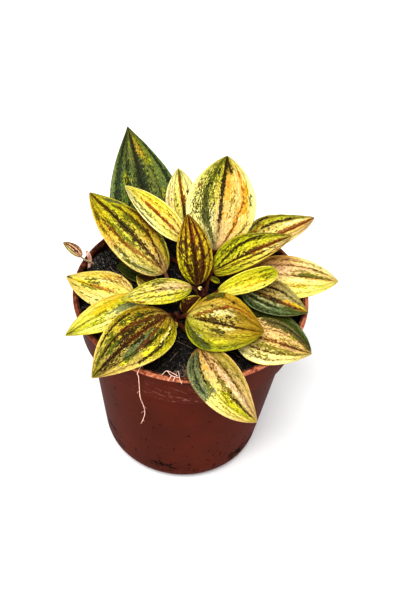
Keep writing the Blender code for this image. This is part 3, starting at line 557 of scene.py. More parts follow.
leaves["leaf_front_left"] = dict(
    stem="stem_front", at=106, base=(-10, -24, 112), tip=(-42, -67, 111), width=31, arch=4, sway=0.8,
    roll=12, fold=10, cup=35, shape=(0.47, 0.85), margin="straw", net=0.3, vein=0.6, cellShade=0.35,
    dust=[("moss", 0, 95, 0, 5, 130, 32), ("umber", 0, 95, 0, 5, 90, 22)],
    tones=[("khaki", -40, 60), ("khaki", -25, 85), ("lime", -70, 25), ("ochre", 85, 35), ("khaki", 30, 70),
        ("khaki", 10, 25), ("straw", 85, 80), ("ochre", -50, 20), ("lime", 0, 97), ("gold", 30, 45),
        ("straw", -80, 80), ("khaki", 10, 60), ("lime", 60, 60)],
    strokes=[("maroon", 0, 97, 0, 50, 4.5, 85), ("russet", 0, 55, 0, 3, 6, 90),
        ("maroon", 45, 78, 42, 45, 5, 80), ("russet", 42, 50, 12, 4, 6, 85),
        ("russet", -42, 55, -12, 6, 4.5, 85), ("umber", -15, 80, 15, 50, 20, 40),
        ("pine", 30, 50, 25, 25, 13, 65), ("pine", 65, 45, 45, 12, 12, 60),
        ("green", 24, 74, 28, 62, 11, 90), ("green", -50, 68, -38, 54, 12, 85),
        ("slate", -35, 64, -22, 40, 13, 85), ("slate", -30, 42, -20, 25, 8, 70),
        ("sage", -30, 55, -26, 48, 8, 80), ("pine", -45, 42, -35, 20, 8, 75),
        ("umber", -20, 55, -15, 40, 7, 60), ("lemon", -72, 52, -66, 42, 13, 90),
        ("lemon", -60, 74, -55, 66, 12, 80), ("cream", -45, 56, -42, 50, 5, 80),
        ("cream", -20, 62, -18, 58, 5, 70), ("umber", -47, 46, -42, 38, 5, 60),
        ("umber", -84, 62, -62, 8, 4.5, 90), ("cream", -72, 35, -50, 6, 5, 70),
        ("moss", 55, 88, 60, 60, 14, 55), ("umber", 80, 72, 75, 30, 4, 80),
        ("pink", -22, 90, -10, 74, 12, 50), ("umber", -35, 95, -15, 78, 16, 34),
        ("lemon", 62, 42, 56, 34, 10, 80), ("pink", -10, 45, 0, 12, 6, 60),
        ("lemon", 35, 42, 32, 34, 5, 60), ("lemon", 45, 66, 42, 56, 6, 60), ("pink", 10, 85, 12, 50, 8, 50),
        ("umber", 22, 60, 14, 10, 12, 50), ("olive", 85, 60, 85, 20, 10, 50),
        ("moss", -15, 35, -10, 15, 5, 50), ("gold", 20, 62, 16, 45, 6, 50), ("maroon", 2, 50, 0, 5, 3, 70)])
leaves["leaf_left_pale"] = dict(
    stem="stem_left", at=102.5, base=(-28, -9, 106), tip=(-64, 0, 109), width=24, arch=2, roll=12,
    sway=-1.6, skew=-0.1, fold=10, cup=40, margin="straw", shade=0.91, net=0.02, vein=0.15, cellShade=0.14,
    dust=[("olive", 0, 70, 0, 30, 80, 26)],
    tones=[("straw", -50, 70), ("straw", 30, 85), ("butter", 0, 60), ("straw", 80, 35), ("butter", 50, 60),
        ("cream", -60, 30), ("straw", 85, 15), ("butter", -10, 20), ("straw", 40, 35)],
    strokes=[("lemon", 5, 97, 5, 60, 14, 70), ("gold", 2, 90, 0, 40, 9, 80),
        ("olive", 2, 97, 0, 60, 2.5, 66), ("tan", 5, 60, 5, 30, 10, 36), ("rust", 0, 60, 5, 30, 6, 44),
        ("orange", 10, 55, 12, 30, 7, 36), ("brown", 42, 62, 42, 35, 4, 50), ("ink", 0, 100, 5, 95, 14, 90),
        ("tan", 55, 55, 60, 20, 8, 60), ("brown", 50, 50, 50, 20, 3.5, 50),
        ("pine", 25, 74, 32, 60, 10, 62), ("pine", 10, 66, 15, 52, 8, 55),
        ("moss", -20, 72, -10, 50, 12, 50), ("gold", 60, 75, 70, 30, 14, 60),
        ("brown", 98, 40, 70, 12, 12, 50), ("moss", -70, 75, -65, 30, 4, 60),
        ("pine", 25, 99, -10, 97, 12, 85), ("moss", -60, 90, -50, 80, 8, 60),
        ("brown", -95, 85, -95, 40, 6, 50), ("cream", 35, 55, 35, 35, 7, 60),
        ("pink", 70, 30, 60, 15, 12, 50)])
leaves["leaf_left_low"] = dict(
    stem="stem_left", at=107, base=(-22, -10.5, 110), tip=(-58, -42, 110.5), width=23, arch=3, fold=10,
    cup=50, margin="lime", net=0.05, vein=0.25, cellShade=0.12,
    dust=[("olive", 0, 90, 0, 30, 80, 20), ("lime", 0, 90, 0, 10, 90, 34)],
    tones=[("butter", 40, 75), ("lemon", 30, 45), ("straw", 80, 50), ("butter", -30, 75), ("lime", 0, 97),
        ("butter", -80, 60), ("cream", -50, 50), ("straw", -90, 30), ("gold", 50, 25)],
    strokes=[("sage", -16, 34, -20, 2, 18, 100), ("sage", -16, 52, -16, 30, 7, 95),
        ("sage", -32, 44, -30, 20, 6, 90), ("slate", -4, 42, -10, 10, 5, 66),
        ("moss", -30, 72, -25, 54, 8, 40), ("gold", 22, 62, 30, 35, 15, 80), ("olive", 3, 97, 5, 50, 4, 70),
        ("moss", -50, 85, -45, 25, 3.5, 70), ("moss", -72, 75, -68, 30, 3.5, 60),
        ("moss", 0, 99, -20, 92, 16, 80), ("green", 20, 98, 30, 88, 8, 60),
        ("green", -80, 90, -40, 97, 10, 60), ("orange", 75, 60, 65, 30, 7, 45),
        ("lime", -30, 90, -35, 60, 12, 60), ("lime", 10, 60, 10, 30, 12, 50)])
leaves["leaf_crown_left"] = dict(
    stem="stem_centre", at=109, base=(0, -11, 119), tip=(-34, -23, 118), width=16, arch=4, roll=20, fold=10,
    cup=60, margin="lime", net=0.6, vein=0.35, cellShade=0.22, shade=0.97,
    dust=[("olive", 0, 90, 0, 10, 120, 30), ("cream", 0, 90, 0, 10, 100, 30)],
    tones=[("butter", -50, 60), ("butter", 30, 70), ("peach", 10, 30), ("lemon", -30, 90),
        ("lime", -50, 15), ("butter", 70, 30), ("lime", 90, 50), ("straw", 40, 50), ("lemon", -60, 40),
        ("lime", 10, 97)],
    strokes=[("rust", -86, 100, -90, 72, 16, 100), ("russet", -80, 99, -92, 85, 8, 90),
        ("green", 50, 52, 55, 38, 14, 80), ("lime", 10, 95, 10, 70, 16, 60),
        ("brown", 5, 90, 5, 10, 3.5, 50), ("pink", 10, 45, 10, 15, 20, 60),
        ("olive", 60, 75, 65, 20, 5, 70), ("olive", -45, 70, -40, 20, 5, 60),
        ("moss", 10, 60, 45, 78, 3, 55), ("moss", 10, 40, 45, 62, 3, 50), ("moss", -5, 60, -40, 80, 3, 50),
        ("moss", 85, 60, 80, 30, 10, 60), ("lime", -60, 70, -50, 30, 14, 50),
        ("pink", 35, 40, 30, 20, 10, 50)])
leaves["leaf_left_shaded"] = dict(
    stem="stem_left", at=101.5, base=(-19, 10, 103), tip=(-41, 19, 103), width=16, arch=1, fold=10, cup=30,
    margin="green", shade=0.9, net=0.1, vein=0.3, tones=[("pine", 0, 50), ("green", 0, 90)],
    strokes=[("sage", 30, 80, 30, 40, 20, 50)])
leaves["leaf_left_inner"] = dict(
    stem="stem_left", at=105, base=(-17, -1, 105), tip=(-29, 8, 106), width=12, arch=1, fold=10, cup=30,
    margin="butter", net=0.2, vein=0.6, tones=[("olive", 0, 50), ("brown", 40, 40), ("khaki", -70, 50)],
    strokes=[("umber", 20, 90, 20, 20, 40, 75), ("butter", -80, 80, -80, 20, 10, 60)])
leaves["leaf_young_folded"] = dict(
    stem="stem_front", at=105, base=(-3, -19, 108), tip=(5, -14, 116), width=9, arch=1.5, fold=45, cup=20,
    stalk=0.8, margin="lemon", net=0.3, vein=0.6, rim=0.2, dust=[("maroon", 0, 90, 0, 10, 120, 45)],
    tones=[("brown", 30, 50), ("maroon", -20, 30), ("brown", -50, 80), ("tan", -60, 50)],
    strokes=[("maroon", 10, 90, 10, 10, 55, 85), ("lemon", -97, 95, -97, 20, 16, 95),
        ("lemon", 97, 95, 97, 30, 10, 90)])
leaves["leaf_young_strip"] = dict(
    stem="stem_right", at=108, base=(14, 2, 111), tip=(7.5, 4.5, 112), width=4, arch=0.5, fold=20, cup=30,
    stalk=0.7, margin="lime", net=0, vein=0.3, tones=[("lime", 0, 40), ("tan", 20, 90)],
    strokes=[("moss", 0, 50, 0, 20, 30, 50)])
leaves["leaf_young_curl"] = dict(
    start=(6, -6, 111.8), base=(5, -6.4, 113.6), tip=(2.6, -6.6, 114.6), width=2.4, arch=1, roll=40,
    fold=30, cup=60, stalk=0.6, margin="cream", net=0, vein=0, tones=[("pink", 0, 30), ("cream", 0, 80)],
    strokes=[])
leaves["leaf_bud"] = dict(
    stem="stem_front", at=105.5, base=(-6.5, -23.9, 107), tip=(-6.6, -25.4, 102.8), width=3, arch=0.5,
    fold=20, cup=40, stalk=0.6, margin="butter", net=0, vein=0.3,
    tones=[("khaki", 0, 50), ("lime", 50, 60)], strokes=[("moss", 40, 70, 40, 30, 30, 50)])
leaves["leaf_withered"] = dict(
    start=(-50.5, 16, 97.2), base=(-58, 15, 109), tip=(-69, 23, 111), width=7, arch=1.5, fold=25, cup=50,
    stalk=0.6, lift=10, margin="khaki", net=0.1, vein=0.8, stalkTint=paint(244, 222, 204), dust=[],
    tones=[("blush", 0, 40), ("blush", 30, 60), ("cream", -50, 50), ("khaki", 0, 95), ("khaki", 85, 60),
        ("blush", -30, 20), ("blush", -20, 70), ("blush", 50, 30)],
    strokes=[("brown", 0, 85, 0, 30, 9, 80), ("umber", -50, 85, -50, 30, 7, 70),
        ("brown", 55, 80, 55, 20, 9, 70), ("maroon", -15, 32, 10, 26, 14, 90),
        ("olive", 90, 90, 90, 40, 12, 60), ("blush", 25, 75, 25, 20, 10, 80),
        ("olive", 0, 99, 0, 92, 20, 50)])


# The midrib is a quadratic curve from base to tip, bowed out by arch and sideways by sway. Returns its
# points with the directions along, right and up.
def midrib(leaf, v):
    base, tip = np.array(leaf["base"], float), np.array(leaf["tip"], float)
    chord = unit(tip - base)
    right = unit(np.cross(chord, [0, 0, 1]))
    up = np.cross(right, chord)
    roll = math.radians(leaf.get("roll", 0))
    right, up = right * math.cos(roll) + up * math.sin(roll), up * math.cos(roll) - right * math.sin(roll)
    middle = (base + tip) / 2 + 2 * (leaf["arch"] * up + leaf.get("sway", 0) * right)
    v = v[:, None]
    points = (1 - v) ** 2 * base + 2 * v * (1 - v) * middle + v ** 2 * tip
    along = unit((1 - v) * (middle - base) + v * (tip - middle))
    right = unit(right - along * (along @ right)[:, None])
    return points, along, right, np.cross(right, along)


# Half the blade's width: a power of the way from its base times a power of the way to its tip, divided by
# what that comes to where it is greatest.
def outline(leaf, v):
    a, b = leaf.get("shape", leafForm["shape"])
    full = (a / (a + b)) ** a * (b / (a + b)) ** b
    return leaf["width"] / 2 * v ** a * (1 - v) ** b / full


# The stalk is a cubic curve that leaves its stem outwards and rising, or rises from its start, and runs
# into the midrib. Returns its points with the directions along, right and up.
def stalk(leaf, t):
    end, along, right, up = (part[0] for part in midrib(leaf, np.zeros(1)))
    end = end - up * leafForm["thickness"] / 2
    radius = leaf.get("stalk", leafForm["stalkRadius"])
    if "start" in leaf:
        start, out = np.array(leaf["start"], float), np.array([0, 0, 1.0])
    else:
        stem = stems[leaf["stem"]]
        axis = stemAxis(stem, leaf["at"])
        out = end - axis
        level = math.hypot(out[0], out[1])
        out[2] = min(max(out[2], 0), level * leafForm["stalkRise"])
        away = out * [1, 1, 0] / level
        out = unit(out)
        start = axis + away * (stemRadius(stem, leaf["at"]) - leafForm["gap"] + radius * out[2])
    pull = np.linalg.norm(end - start) * leafForm["stalkPull"]
    one, two = start + out * leaf.get("lift", pull), end - along * pull
    t = t[:, None]
    points = (1 - t) ** 3 * start + 3 * t * (1 - t) ** 2 * one + 3 * t ** 2 * (1 - t) * two + t ** 3 * end
    ways = unit((1 - t) ** 2 * (one - start) + 2 * t * (1 - t) * (two - one) + t ** 2 * (end - two))
    right = unit(right - ways * (ways @ right)[:, None])
    return points, ways, right, np.cross(right, ways)


# A grid over the upper face, carried on over the lower face, which has the same two margins.
def bothFaces(grid):
    return np.concatenate([grid, grid[:, -2:0:-1]], 1)


def withMiddles(grid):    # values in the order of the points, with the middles of both ends
    return np.vstack([grid.reshape(-1, grid.shape[-1]), grid[0, 0], grid[-1, 0]])


# The whole leaf is one grid. A section is an arc on each side of the midrib: its slope starts at fold and
# falls by cup towards the margin. The upper face stands half a thickness over that arc and the lower face
# half a thickness under it, with a round margin, the veins sunk into the top and a keel below the midrib.
# Near the base the sections turn into the stalk's circles.
def makeLeaf(name, leaf, seed, finish):
    form = leafForm
    small = leaf["width"] < form["smallWidth"]
    columns = form["columns"] // 2 if small else form["columns"]
    k = np.linspace(-1, 1, 2 * columns + 1)
    step = np.linspace(0, 1, form["bladeRows"] // 2 if small else form["bladeRows"])
    blade = (0.6 * step + 0.2 * (1 - np.cos(np.pi * step))) * form["lastRow"]    # rows closer at both ends
    t = np.linspace(0, 1, form["stalkRows"], endpoint=False)
    v = np.concatenate([np.zeros(len(t)), blade])
    near = np.concatenate([np.ones(len(t)), np.exp(-blade / form["baseRound"])])[:, None]
    length = np.linalg.norm(np.subtract(leaf["tip"], leaf["base"]))
    reached = 1 - form["tipBack"] / length
    halves = zip(stalk(leaf, t), midrib(leaf, blade * reached))
    centre, _, right, up = (np.vstack(pair) for pair in halves)
    lowered = np.concatenate([np.zeros(len(t)), np.full(len(blade), form["thickness"] / 2)])[:, None]

    thinned = np.concatenate([t, np.ones(len(blade))])
    radius = leaf.get("stalk", form["stalkRadius"]) * (1 - (1 - form["stalkEnd"]) * thinned)
    wide = np.sqrt(outline(leaf, v) ** 2 + (radius * near[:, 0]) ** 2)[:, None]
    tipFade = np.sqrt(1 - smoothStep(v, form["tipFrom"], 1.0) ** 2 * form["tipThin"])[:, None]
    half = form["thickness"] / 2 * tipFade * (1 - near) + radius[:, None] * near
    half = np.minimum(half, wide)
    fold = math.radians(leaf["fold"]) * (1 - near)
    cup = math.radians(leaf["cup"]) * np.minimum(1, wide / form["flatWidth"]) * (1 - near)
    cup = np.maximum(cup, 0.001)    # kept off 0, because it divides below

    u = (0.5 * k + 0.5 * np.sin(np.pi / 2 * k)) * (1 - near) + np.sin(np.pi / 2 * k) * near
    reach = np.abs(u)
    slope = fold - cup * reach
    side = wide * (1 - leaf.get("skew", 0) * np.sign(u) * (1 - near))
    x = np.sign(u) * side * (np.sin(fold) - np.sin(slope)) / cup
    z = side * (np.cos(slope) - np.cos(fold)) / cup
    leanX, leanZ = -np.sign(u) * np.sin(slope), np.cos(slope)

    away, far = u * side, v[:, None] * length
    margin = np.sqrt(1 - np.clip((reach - 1 + half / wide) / (half / wide), 0, 1) ** 2)
    flat = (1 - near) * smoothStep(wide, *form["reliefWidth"])
    sharp, soft = form["veinShares"]
    sunk = sum(depth * (sharp * np.exp(-((reach - place) * side / size) ** 2)
                        + soft * np.exp(-((reach - place) * side / (form["veinSpread"] * size)) ** 2))
               for place, depth, size in form["veins"])
    grown = min(1, leaf["width"] / form["fullWidth"])
    paceX, paceY = form["ripplePace"]
    relief = (form["ripple"] * grown * waves(away * paceX, far * paceY, seed) - sunk) * flat
    swing = waves(far * form["rufflePace"], np.sign(u) * 2, seed + 1)
    ruffle = form["ruffle"] * grown * swing * reach ** 2 * flat
    keel = form["keel"] * (1 - v[:, None]) * np.exp(-(away / form["keelWidth"]) ** 2)
    keel = (keel + form["ribShare"] * sunk * (reach > form["ribFrom"])) * flat

    def place(x, z):
        return centre[:, None] + x[..., None] * right[:, None] + z[..., None] * up[:, None]

    middle = ruffle - lowered
    rise, drop = middle + (half + relief) * margin, middle - (half + keel) * margin
    top = place(x + leanX * rise, z + leanZ * rise)
    bottom = place(x + leanX * drop, z + leanZ * drop)[:, -2:0:-1]
    rows = np.concatenate([top, bottom], 1)
    end, _, _, over = (part[0] for part in midrib(leaf, np.full(1, reached)))
    points = np.vstack([rows.reshape(-1, 3), centre[0], end - over * form["thickness"] / 2])
    made = makePiece(name, points, closedFaces(*rows.shape[:2]), finish)

    # colours, row by row round each section, the lower face paler and greener
    below = bothFaces(0 * u)
    below[:, u.shape[1]:] = 1
    grids = [bothFaces(grid + 0 * u) for grid in (u, v[:, None], wide, side, near, far)]
    u, v, wide, side, near, far = grids
    for layer, grid in leafColours(leaf, u, v, wide, near, below).items():
        setAttribute(made, layer, "FLOAT_COLOR", withMiddles(grid))
    setAttribute(made, "place", "FLOAT_VECTOR", withMiddles(np.stack([u, v, side * (1 - near)], -1)))
    p = leafPaint    # grain: millimetres on the flattened leaf, with a depth of its own for each face
    grain = np.stack([u * leaf["width"] / 2, far, below * p["grainUnder"] + seed * p["grainLeaf"]], -1)
    setAttribute(made, "grain", "FLOAT_VECTOR", withMiddles(grain))
    traits = np.broadcast_to([leaf["net"], leaf["vein"], leaf.get("cellShade", p["cellShade"])], grain.shape)
    traits = traits * (1 - p["underTraits"] * below[..., None])
    setAttribute(made, "traits", "FLOAT_VECTOR", withMiddles(traits))
    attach(made, "root")
    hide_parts(name)
    return made


leafPaint = dict(bell=(0.38, 0.24), edge=(0.35, 1.0), edgeShare=0.8, rim=0.7, stalk=paint(98, 50, 36),
                 under=paint(176, 180, 110), underShare=0.6, underMarks=0.6, underTraits=0.7,
                 grainUnder=7, grainLeaf=3.7, cellShade=0.3)


# Ground colour: the leaf's tones, each weighted by a bell that falls off with distance. Marks: each stroke
# covers a soft band round its line, and the strokes of one layer add up without passing full cover.
def leafColours(leaf, u, v, wide, near, below):
    p = leafPaint
    bellU, bellV = p["bell"]
    weights = [np.exp(-((u - tu / 100) / bellU) ** 2 - ((v - tv / 100) / bellV) ** 2) + 1e-7
               for _, tu, tv in leaf["tones"]]
    ground = sum(weight[..., None] * tints[tone[0]] for weight, tone in zip(weights, leaf["tones"]))
    ground = ground / sum(weights)[..., None]
    edge = (1 - smoothStep((1 - np.abs(u)) * wide, *p["edge"])) * (1 - near)
    rim = p["edgeShare"] * edge[..., None]
    ground = ground * (1 - rim) + rim * np.array(tints[leaf["margin"]])
    ground = ground * (1 - near[..., None]) + near[..., None] * np.array(leaf.get("stalkTint", p["stalk"]))
    under = below[..., None] * (1 - near[..., None]) * p["underShare"]
    ground = ground * (1 - under) + under * np.array(p["under"])
    # painted light and shade: each leaf's colours made darker or lighter as a whole by its shade value
    shade = leaf.get("shade", 1)
    ground = ground * (shade + (1 - shade) * near[..., None])
    layers = dict(ground=np.concatenate([ground, np.ones_like(u)[..., None]], -1))

    stretch = np.linalg.norm(np.subtract(leaf["tip"], leaf["base"])) / (leaf["width"] / 2)
    greenTints = set(tints) - set(brightTints + brownTints)
    for layer, known in (("bright", brightTints), ("brown", brownTints), ("green", greenTints)):
        left, colour, weight = np.ones_like(u), np.zeros(u.shape + (3,)), np.full_like(u, 1e-6)
        for name, *numbers in leaf["strokes"] + leaf.get("dust", leafDust):
            if name in known:
                u0, v0, u1, v1, width, cover = np.array(numbers) / 100
                line = np.array([u1 - u0, (v1 - v0) * stretch])
                at = np.clip(((u - u0) * line[0] + (v - v0) * stretch * line[1]) / (line @ line), 0, 1)
                gap = np.hypot(u - u0 - at * line[0], (v - v0) * stretch - at * line[1])
                field = cover * np.exp(-(gap / width) ** 2)
                left = left * (1 - field)
                colour = colour + field[..., None] * tints[name]
                weight = weight + field
        cover = (1 - left) * (1 - leaf.get("rim", p["rim"]) * edge)
        cover = cover * (1 - near) * (1 - p["underMarks"] * below)
        layers[layer] = np.concatenate([colour / weight[..., None] * shade, cover[..., None]], -1)
    return layers


# The skin that all leaves share. Each layer of marks lies where its cover beats a grain that is stretched
# along the leaf, so its edge breaks up into flakes, and a low cover leaves loose specks.
leafFinish = dict(flake=(1.0, 0.38), speck=(1.5, 0.66), grit=(3.0, 1.5), crisp=(1.3, 0.66),
                  broad=(0.45, 0.12), bend=(0.16, 0.1), bending=0.22, spread=6.0, gain=2.1, edge=3.6,
                  cell=(0.78, 0.46), sideVeins=(0.45, 0.8), lineWidth=(0.08, 0.42),
                  lineShares=(1, 0.9, 0.8), valley=(0, 1.5), valleyShares=(1, 1, 0.8), halo=0.3,
                  netPeriod=2.2, netSlope=1.0, netRise=0.62, netWander=3.2, netRib=(0.03, 0.14),
                  netFrom=(1, 4), netEnd=(0.82, 0.95), netBreak=(0.38, 0.6), webTo=(0.0, 0.24),
                  gritTo=(0.38, 0.56), crispTo=(0.36, 0.62), lineBreak=(0.3, 0.5), lineFrom=(0.5, 3),
                  edgeTo=(0.1, 0.3), edgeFrom=(0.5, 2),
                  roughness=0.42, dryRoughness=0.75, coat=0.02, lineTint=paint(56, 28, 8),
                  netTint=paint(58, 32, 8), valleyShadeTint=(0.66, 0.56, 0.2), edgeTint=paint(146, 96, 44))


def leafSkin(name, dry=False):
    s = leafFinish
    skin = Skin(name)
    across, _, wide = skin.parts(skin.attribute("place"))
    net, vein, cellShade = skin.parts(skin.attribute("traits"))
    grain = skin.attribute("grain")
    gx, gy, _ = skin.parts(grain)

    def grained(size, detail=2, roughness=0.5, output=0):
        return skin.noise(skin.scaled(grain, *s[size], 1), 1.0, detail, roughness, output)

    flakeOne, flakeTwo, flakeThree = skin.parts(grained("flake", 3, 0.6, 1))
    speckOne, speckTwo, speckThree = skin.parts(grained("speck", 2, 0.6, 1))
    grit = grained("grit").between(*s["gritTo"])
    broad = grained("broad")
    crisp = grained("crisp").between(*s["crispTo"])

    # main veins: a dark line in a soft valley painted with shade, with specks gathered beside it
    reach = abs(across)
    bent = reach + (grained("bend") - 0.5) * s["bending"]
    gaps = [reach * wide] + [abs(bent - place) * wide for place in s["sideVeins"]]

    def alongVeins(low, high, shares):    # each vein's share at its middle, and nothing past high
        first, *others = [(1 - gap.between(low, high)) * share for gap, share in zip(gaps, shares)]
        for other in others:
            first = first.larger(other)
        return first

    lines = alongVeins(*s["lineWidth"], s["lineShares"]) * flakeOne.between(*s["lineBreak"])
    lines = lines * wide.between(*s["lineFrom"])
    shadedValleys = alongVeins(*s["valley"], s["valleyShares"])

    def marked(colour, layer, pattern, share=1, halo=0):
        cover = skin.attribute(layer, "Alpha") + halo
        cover = ((cover - 0.5) * s["gain"] + (pattern - 0.5) * s["spread"]) * s["edge"] + 0.5
        return skin.mix(cover.between(0, 1) * share, colour, skin.attribute(layer, "Color"))

    worn = 0.78 + grit * 0.22
    # painted shade: the colour is darkened towards the valley tint along the veins
    colour = skin.mix(shadedValleys * (0.15 + vein * 0.5) * (0.5 + broad), skin.attribute("ground", "Color"),
                      s["valleyShadeTint"], "MULTIPLY")
    colour = marked(colour, "bright", flakeOne)
    colour = marked(colour, "green", flakeTwo * 0.4 + speckTwo * 0.6, worn)
    halo = shadedValleys * vein * s["halo"]
    colour = marked(colour, "brown", flakeThree * 0.25 + speckThree * 0.75, worn, halo)
    colour = skin.mix(lines * vein, colour, s["lineTint"])

    # veinlets that slant up from the midrib, and the small cells between them
    run = gy * s["netRise"] - abs(gx) * s["netSlope"] + (flakeTwo - 0.5) * s["netWander"]
    run = run * (1 / s["netPeriod"])
    ribs = abs(skin.node("ShaderNodeMath", dict(operation="FRACT"), {0: run}) - 0.5)
    veinlets = (1 - ribs.between(*s["netRib"])) * wide.between(*s["netFrom"])
    veinlets = veinlets * (1 - reach.between(*s["netEnd"]))
    colour = skin.mix(veinlets * net * speckTwo.between(*s["netBreak"]), colour, s["netTint"])
    cells = skin.node("ShaderNodeTexVoronoi", dict(feature="DISTANCE_TO_EDGE"),
                      {"Vector": skin.scaled(grain, *s["cell"], 1), "Scale": 1.0}, "Distance")
    web = 1 - (cells + (speckOne - 0.5) * 0.5).between(*s["webTo"])
    # painted shade: darker along the cell borders, the vein valleys and the veinlets; broad and crisp vary
    # the tone at random
    light = (1.14 - web * cellShade - shadedValleys * 0.16 - veinlets * 0.12) * (0.7 + broad * 0.4 + crisp * 0.28)
    colour = skin.tinted(colour, light)
    edge = 1 - ((1 - reach) * wide).between(*s["edgeTo"])
    colour = skin.mix(edge * 0.5 * wide.between(*s["edgeFrom"]), colour, s["edgeTint"])

    height = flakeOne * 0.4 + speckOne * 0.2 - veinlets * 0.3 - lines * 0.4 - web * 0.5
    rough = s["dryRoughness" if dry else "roughness"] + (speckOne - 0.5) * 0.3
    return skin.finish({
        "Base Color": colour, "Roughness": rough, "Normal": skin.bump(height, 0.0005, 0.8),
        "Specular IOR Level": 0.08, "Coat Weight": 0.0 if dry else s["coat"], "Coat Roughness": 0.35,
        "Subsurface Weight": 0.08, "Subsurface Radius": (1, 0.7, 0.25), "Subsurface Scale": 0.0012})


bladeSkin, dryBladeSkin = leafSkin("leafSkin"), leafSkin("dryLeafSkin", dry=True)
for number, (name, leaf) in enumerate(leaves.items()):
    makeLeaf(name, leaf, number + 1, dryBladeSkin if name == "leaf_withered" else bladeSkin)
print("leaves made:", len(leaves))


# A dry pale sheath that curls up out of the peat beside the withered leaf: a flattened tube whose width
# swells and closes again along its route.
sheath = dict(route=[(-54.6, 13.0, 101.5), (-53.9, 14.4, 104.6), (-53.9, 15.6, 107.2), (-54.8, 16.8, 109.6),
                     (-56, 17.6, 111)], half=1.25, thin=0.28, sides=24)


def sheathSkin():
    skin = Skin("sheathSkin")
    streak = skin.noise(skin.scaled(skin.place(), 900, 900, 200), 1.0, 3)
    colour = skin.mix(streak.between(0.35, 0.6), paint(226, 190, 172), paint(158, 112, 92))
    return skin.finish({"Base Color": colour, "Roughness": 0.6 + streak * 0.2,
                        "Normal": skin.bump(streak, 0.0003, 0.6), "Specular IOR Level": 0.15})


def makeSheath():
    s = sheath
    route = smoothRoute(s["route"], 10)
    share = np.linspace(0, 1, len(route))[:, None]
    turn = angles(s["sides"])
    half = s["half"] * np.sqrt(0.08 + np.sin(np.pi * share) ** 1.2)
    radii = half * s["thin"] / np.sqrt((s["thin"] * np.cos(turn)) ** 2 + (half * np.sin(turn)) ** 2)
    made = makePiece("sheath_dry", *sweep(route, radii, (-0.2, -0.7, 0.4), s["sides"]), sheathSkin())
    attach(made, "root")


makeSheath()


# Stems: a sweep up the axis that swells by a bell at each joint, where a leaf has left its scar, with low
# ribs that wind up round it, and a round top.
stemLook = dict(rows=60, swell=0.12, swellWidth=0.7, closing=(-1.5, 0.2), ribs=3, ribDepth=0.03,
                ribTurn=0.4, joints=(98.6, 102.6, 106.2, 109.4))


def stemSkin():
    skin = Skin("stemSkin")
    place = skin.place()
    streak = skin.noise(skin.scaled(place, 900, 900, 160), 1.0, 3)
    patch = skin.noise(place, 260.0, 2)
    colour = skin.mix(streak.between(0.35, 0.7), paint(40, 13, 11), paint(80, 32, 24))
    colour = skin.mix(patch.between(0.56, 0.72) * 0.5, colour, paint(92, 78, 40))
    return skin.finish({
        "Base Color": colour, "Roughness": 0.5 + streak * 0.15, "Specular IOR Level": 0.15,
        "Normal": skin.bump(streak, 0.0003, 0.6), "Subsurface Weight": 0.05,
        "Subsurface Radius": (1, 0.4, 0.2), "Subsurface Scale": 0.001})


def makeStem(name, stem, finish):
    s = stemLook
    top = stem["top"][2]
    height = np.linspace(stemForm["foot"], top, s["rows"])
    swell = sum(np.exp(-((height - joint) / s["swellWidth"]) ** 2) for joint in s["joints"])
    close = np.sqrt(1 - smoothStep(height, top + s["closing"][0], top + s["closing"][1]) ** 2)
    radii = (stemRadius(stem, height) * close * (1 + s["swell"] * swell))[:, None]
    turn = angles(stemForm["sides"])
    radii = radii * (1 + s["ribDepth"] * np.sin(s["ribs"] * turn + height[:, None] * s["ribTurn"]))
    made = makePiece(name, *sweep(stemAxis(stem, height), radii, (0, 1, 0), stemForm["sides"]), finish)
    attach(made, "root")
    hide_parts(name)


stemFinish = stemSkin()
for name, stem in stems.items():
    makeStem(name, stem, stemFinish)
print("stems made:", len(stems))


# Pot
pot = dict(rim=60.0, height=105.5, lip=3.0, lipThick=1.3, overhang=0.9, collar=21.0, collarLow=56.3,
           ledge=1.6, bodyTop=52.6, foot=44.2, footRound=8.0, footDraw=1.4, wall=1.2, steps=200,
           holes=6, holeRadius=4.5, holeCircle=25.0, holeSides=36, wave=0.12, sharp=50)


# A path of (radius, height) corners whose corners are cut back by their own size and bridged by a
# quadratic curve of the given number of points. Long runs between are split to keep the mesh even.
def roundedPath(corners, points=6, longest=3.0):
    c = np.array(corners, float)
    path = [c[0, :2]]
    for before, here, after in zip(c[:-2], c[1:-1], c[2:]):
        one = here[:2] + unit(before[:2] - here[:2]) * here[2]
        two = here[:2] + unit(after[:2] - here[:2]) * here[2]
        t = np.linspace(0, 1, points)[:, None]
        bridge = (1 - t) ** 2 * one + 2 * t * (1 - t) * here[:2] + t ** 2 * two
        path += list(bridge) if here[2] else [here[:2]]
    path.append(c[-1, :2])
    full = [path[0]]
    for here, after in zip(path, path[1:]):
        pieces = max(1, math.ceil(np.linalg.norm(after - here) / longest))
        full += [here + (after - here) * (i + 1) / pieces for i in range(pieces)]
    return np.array(full)


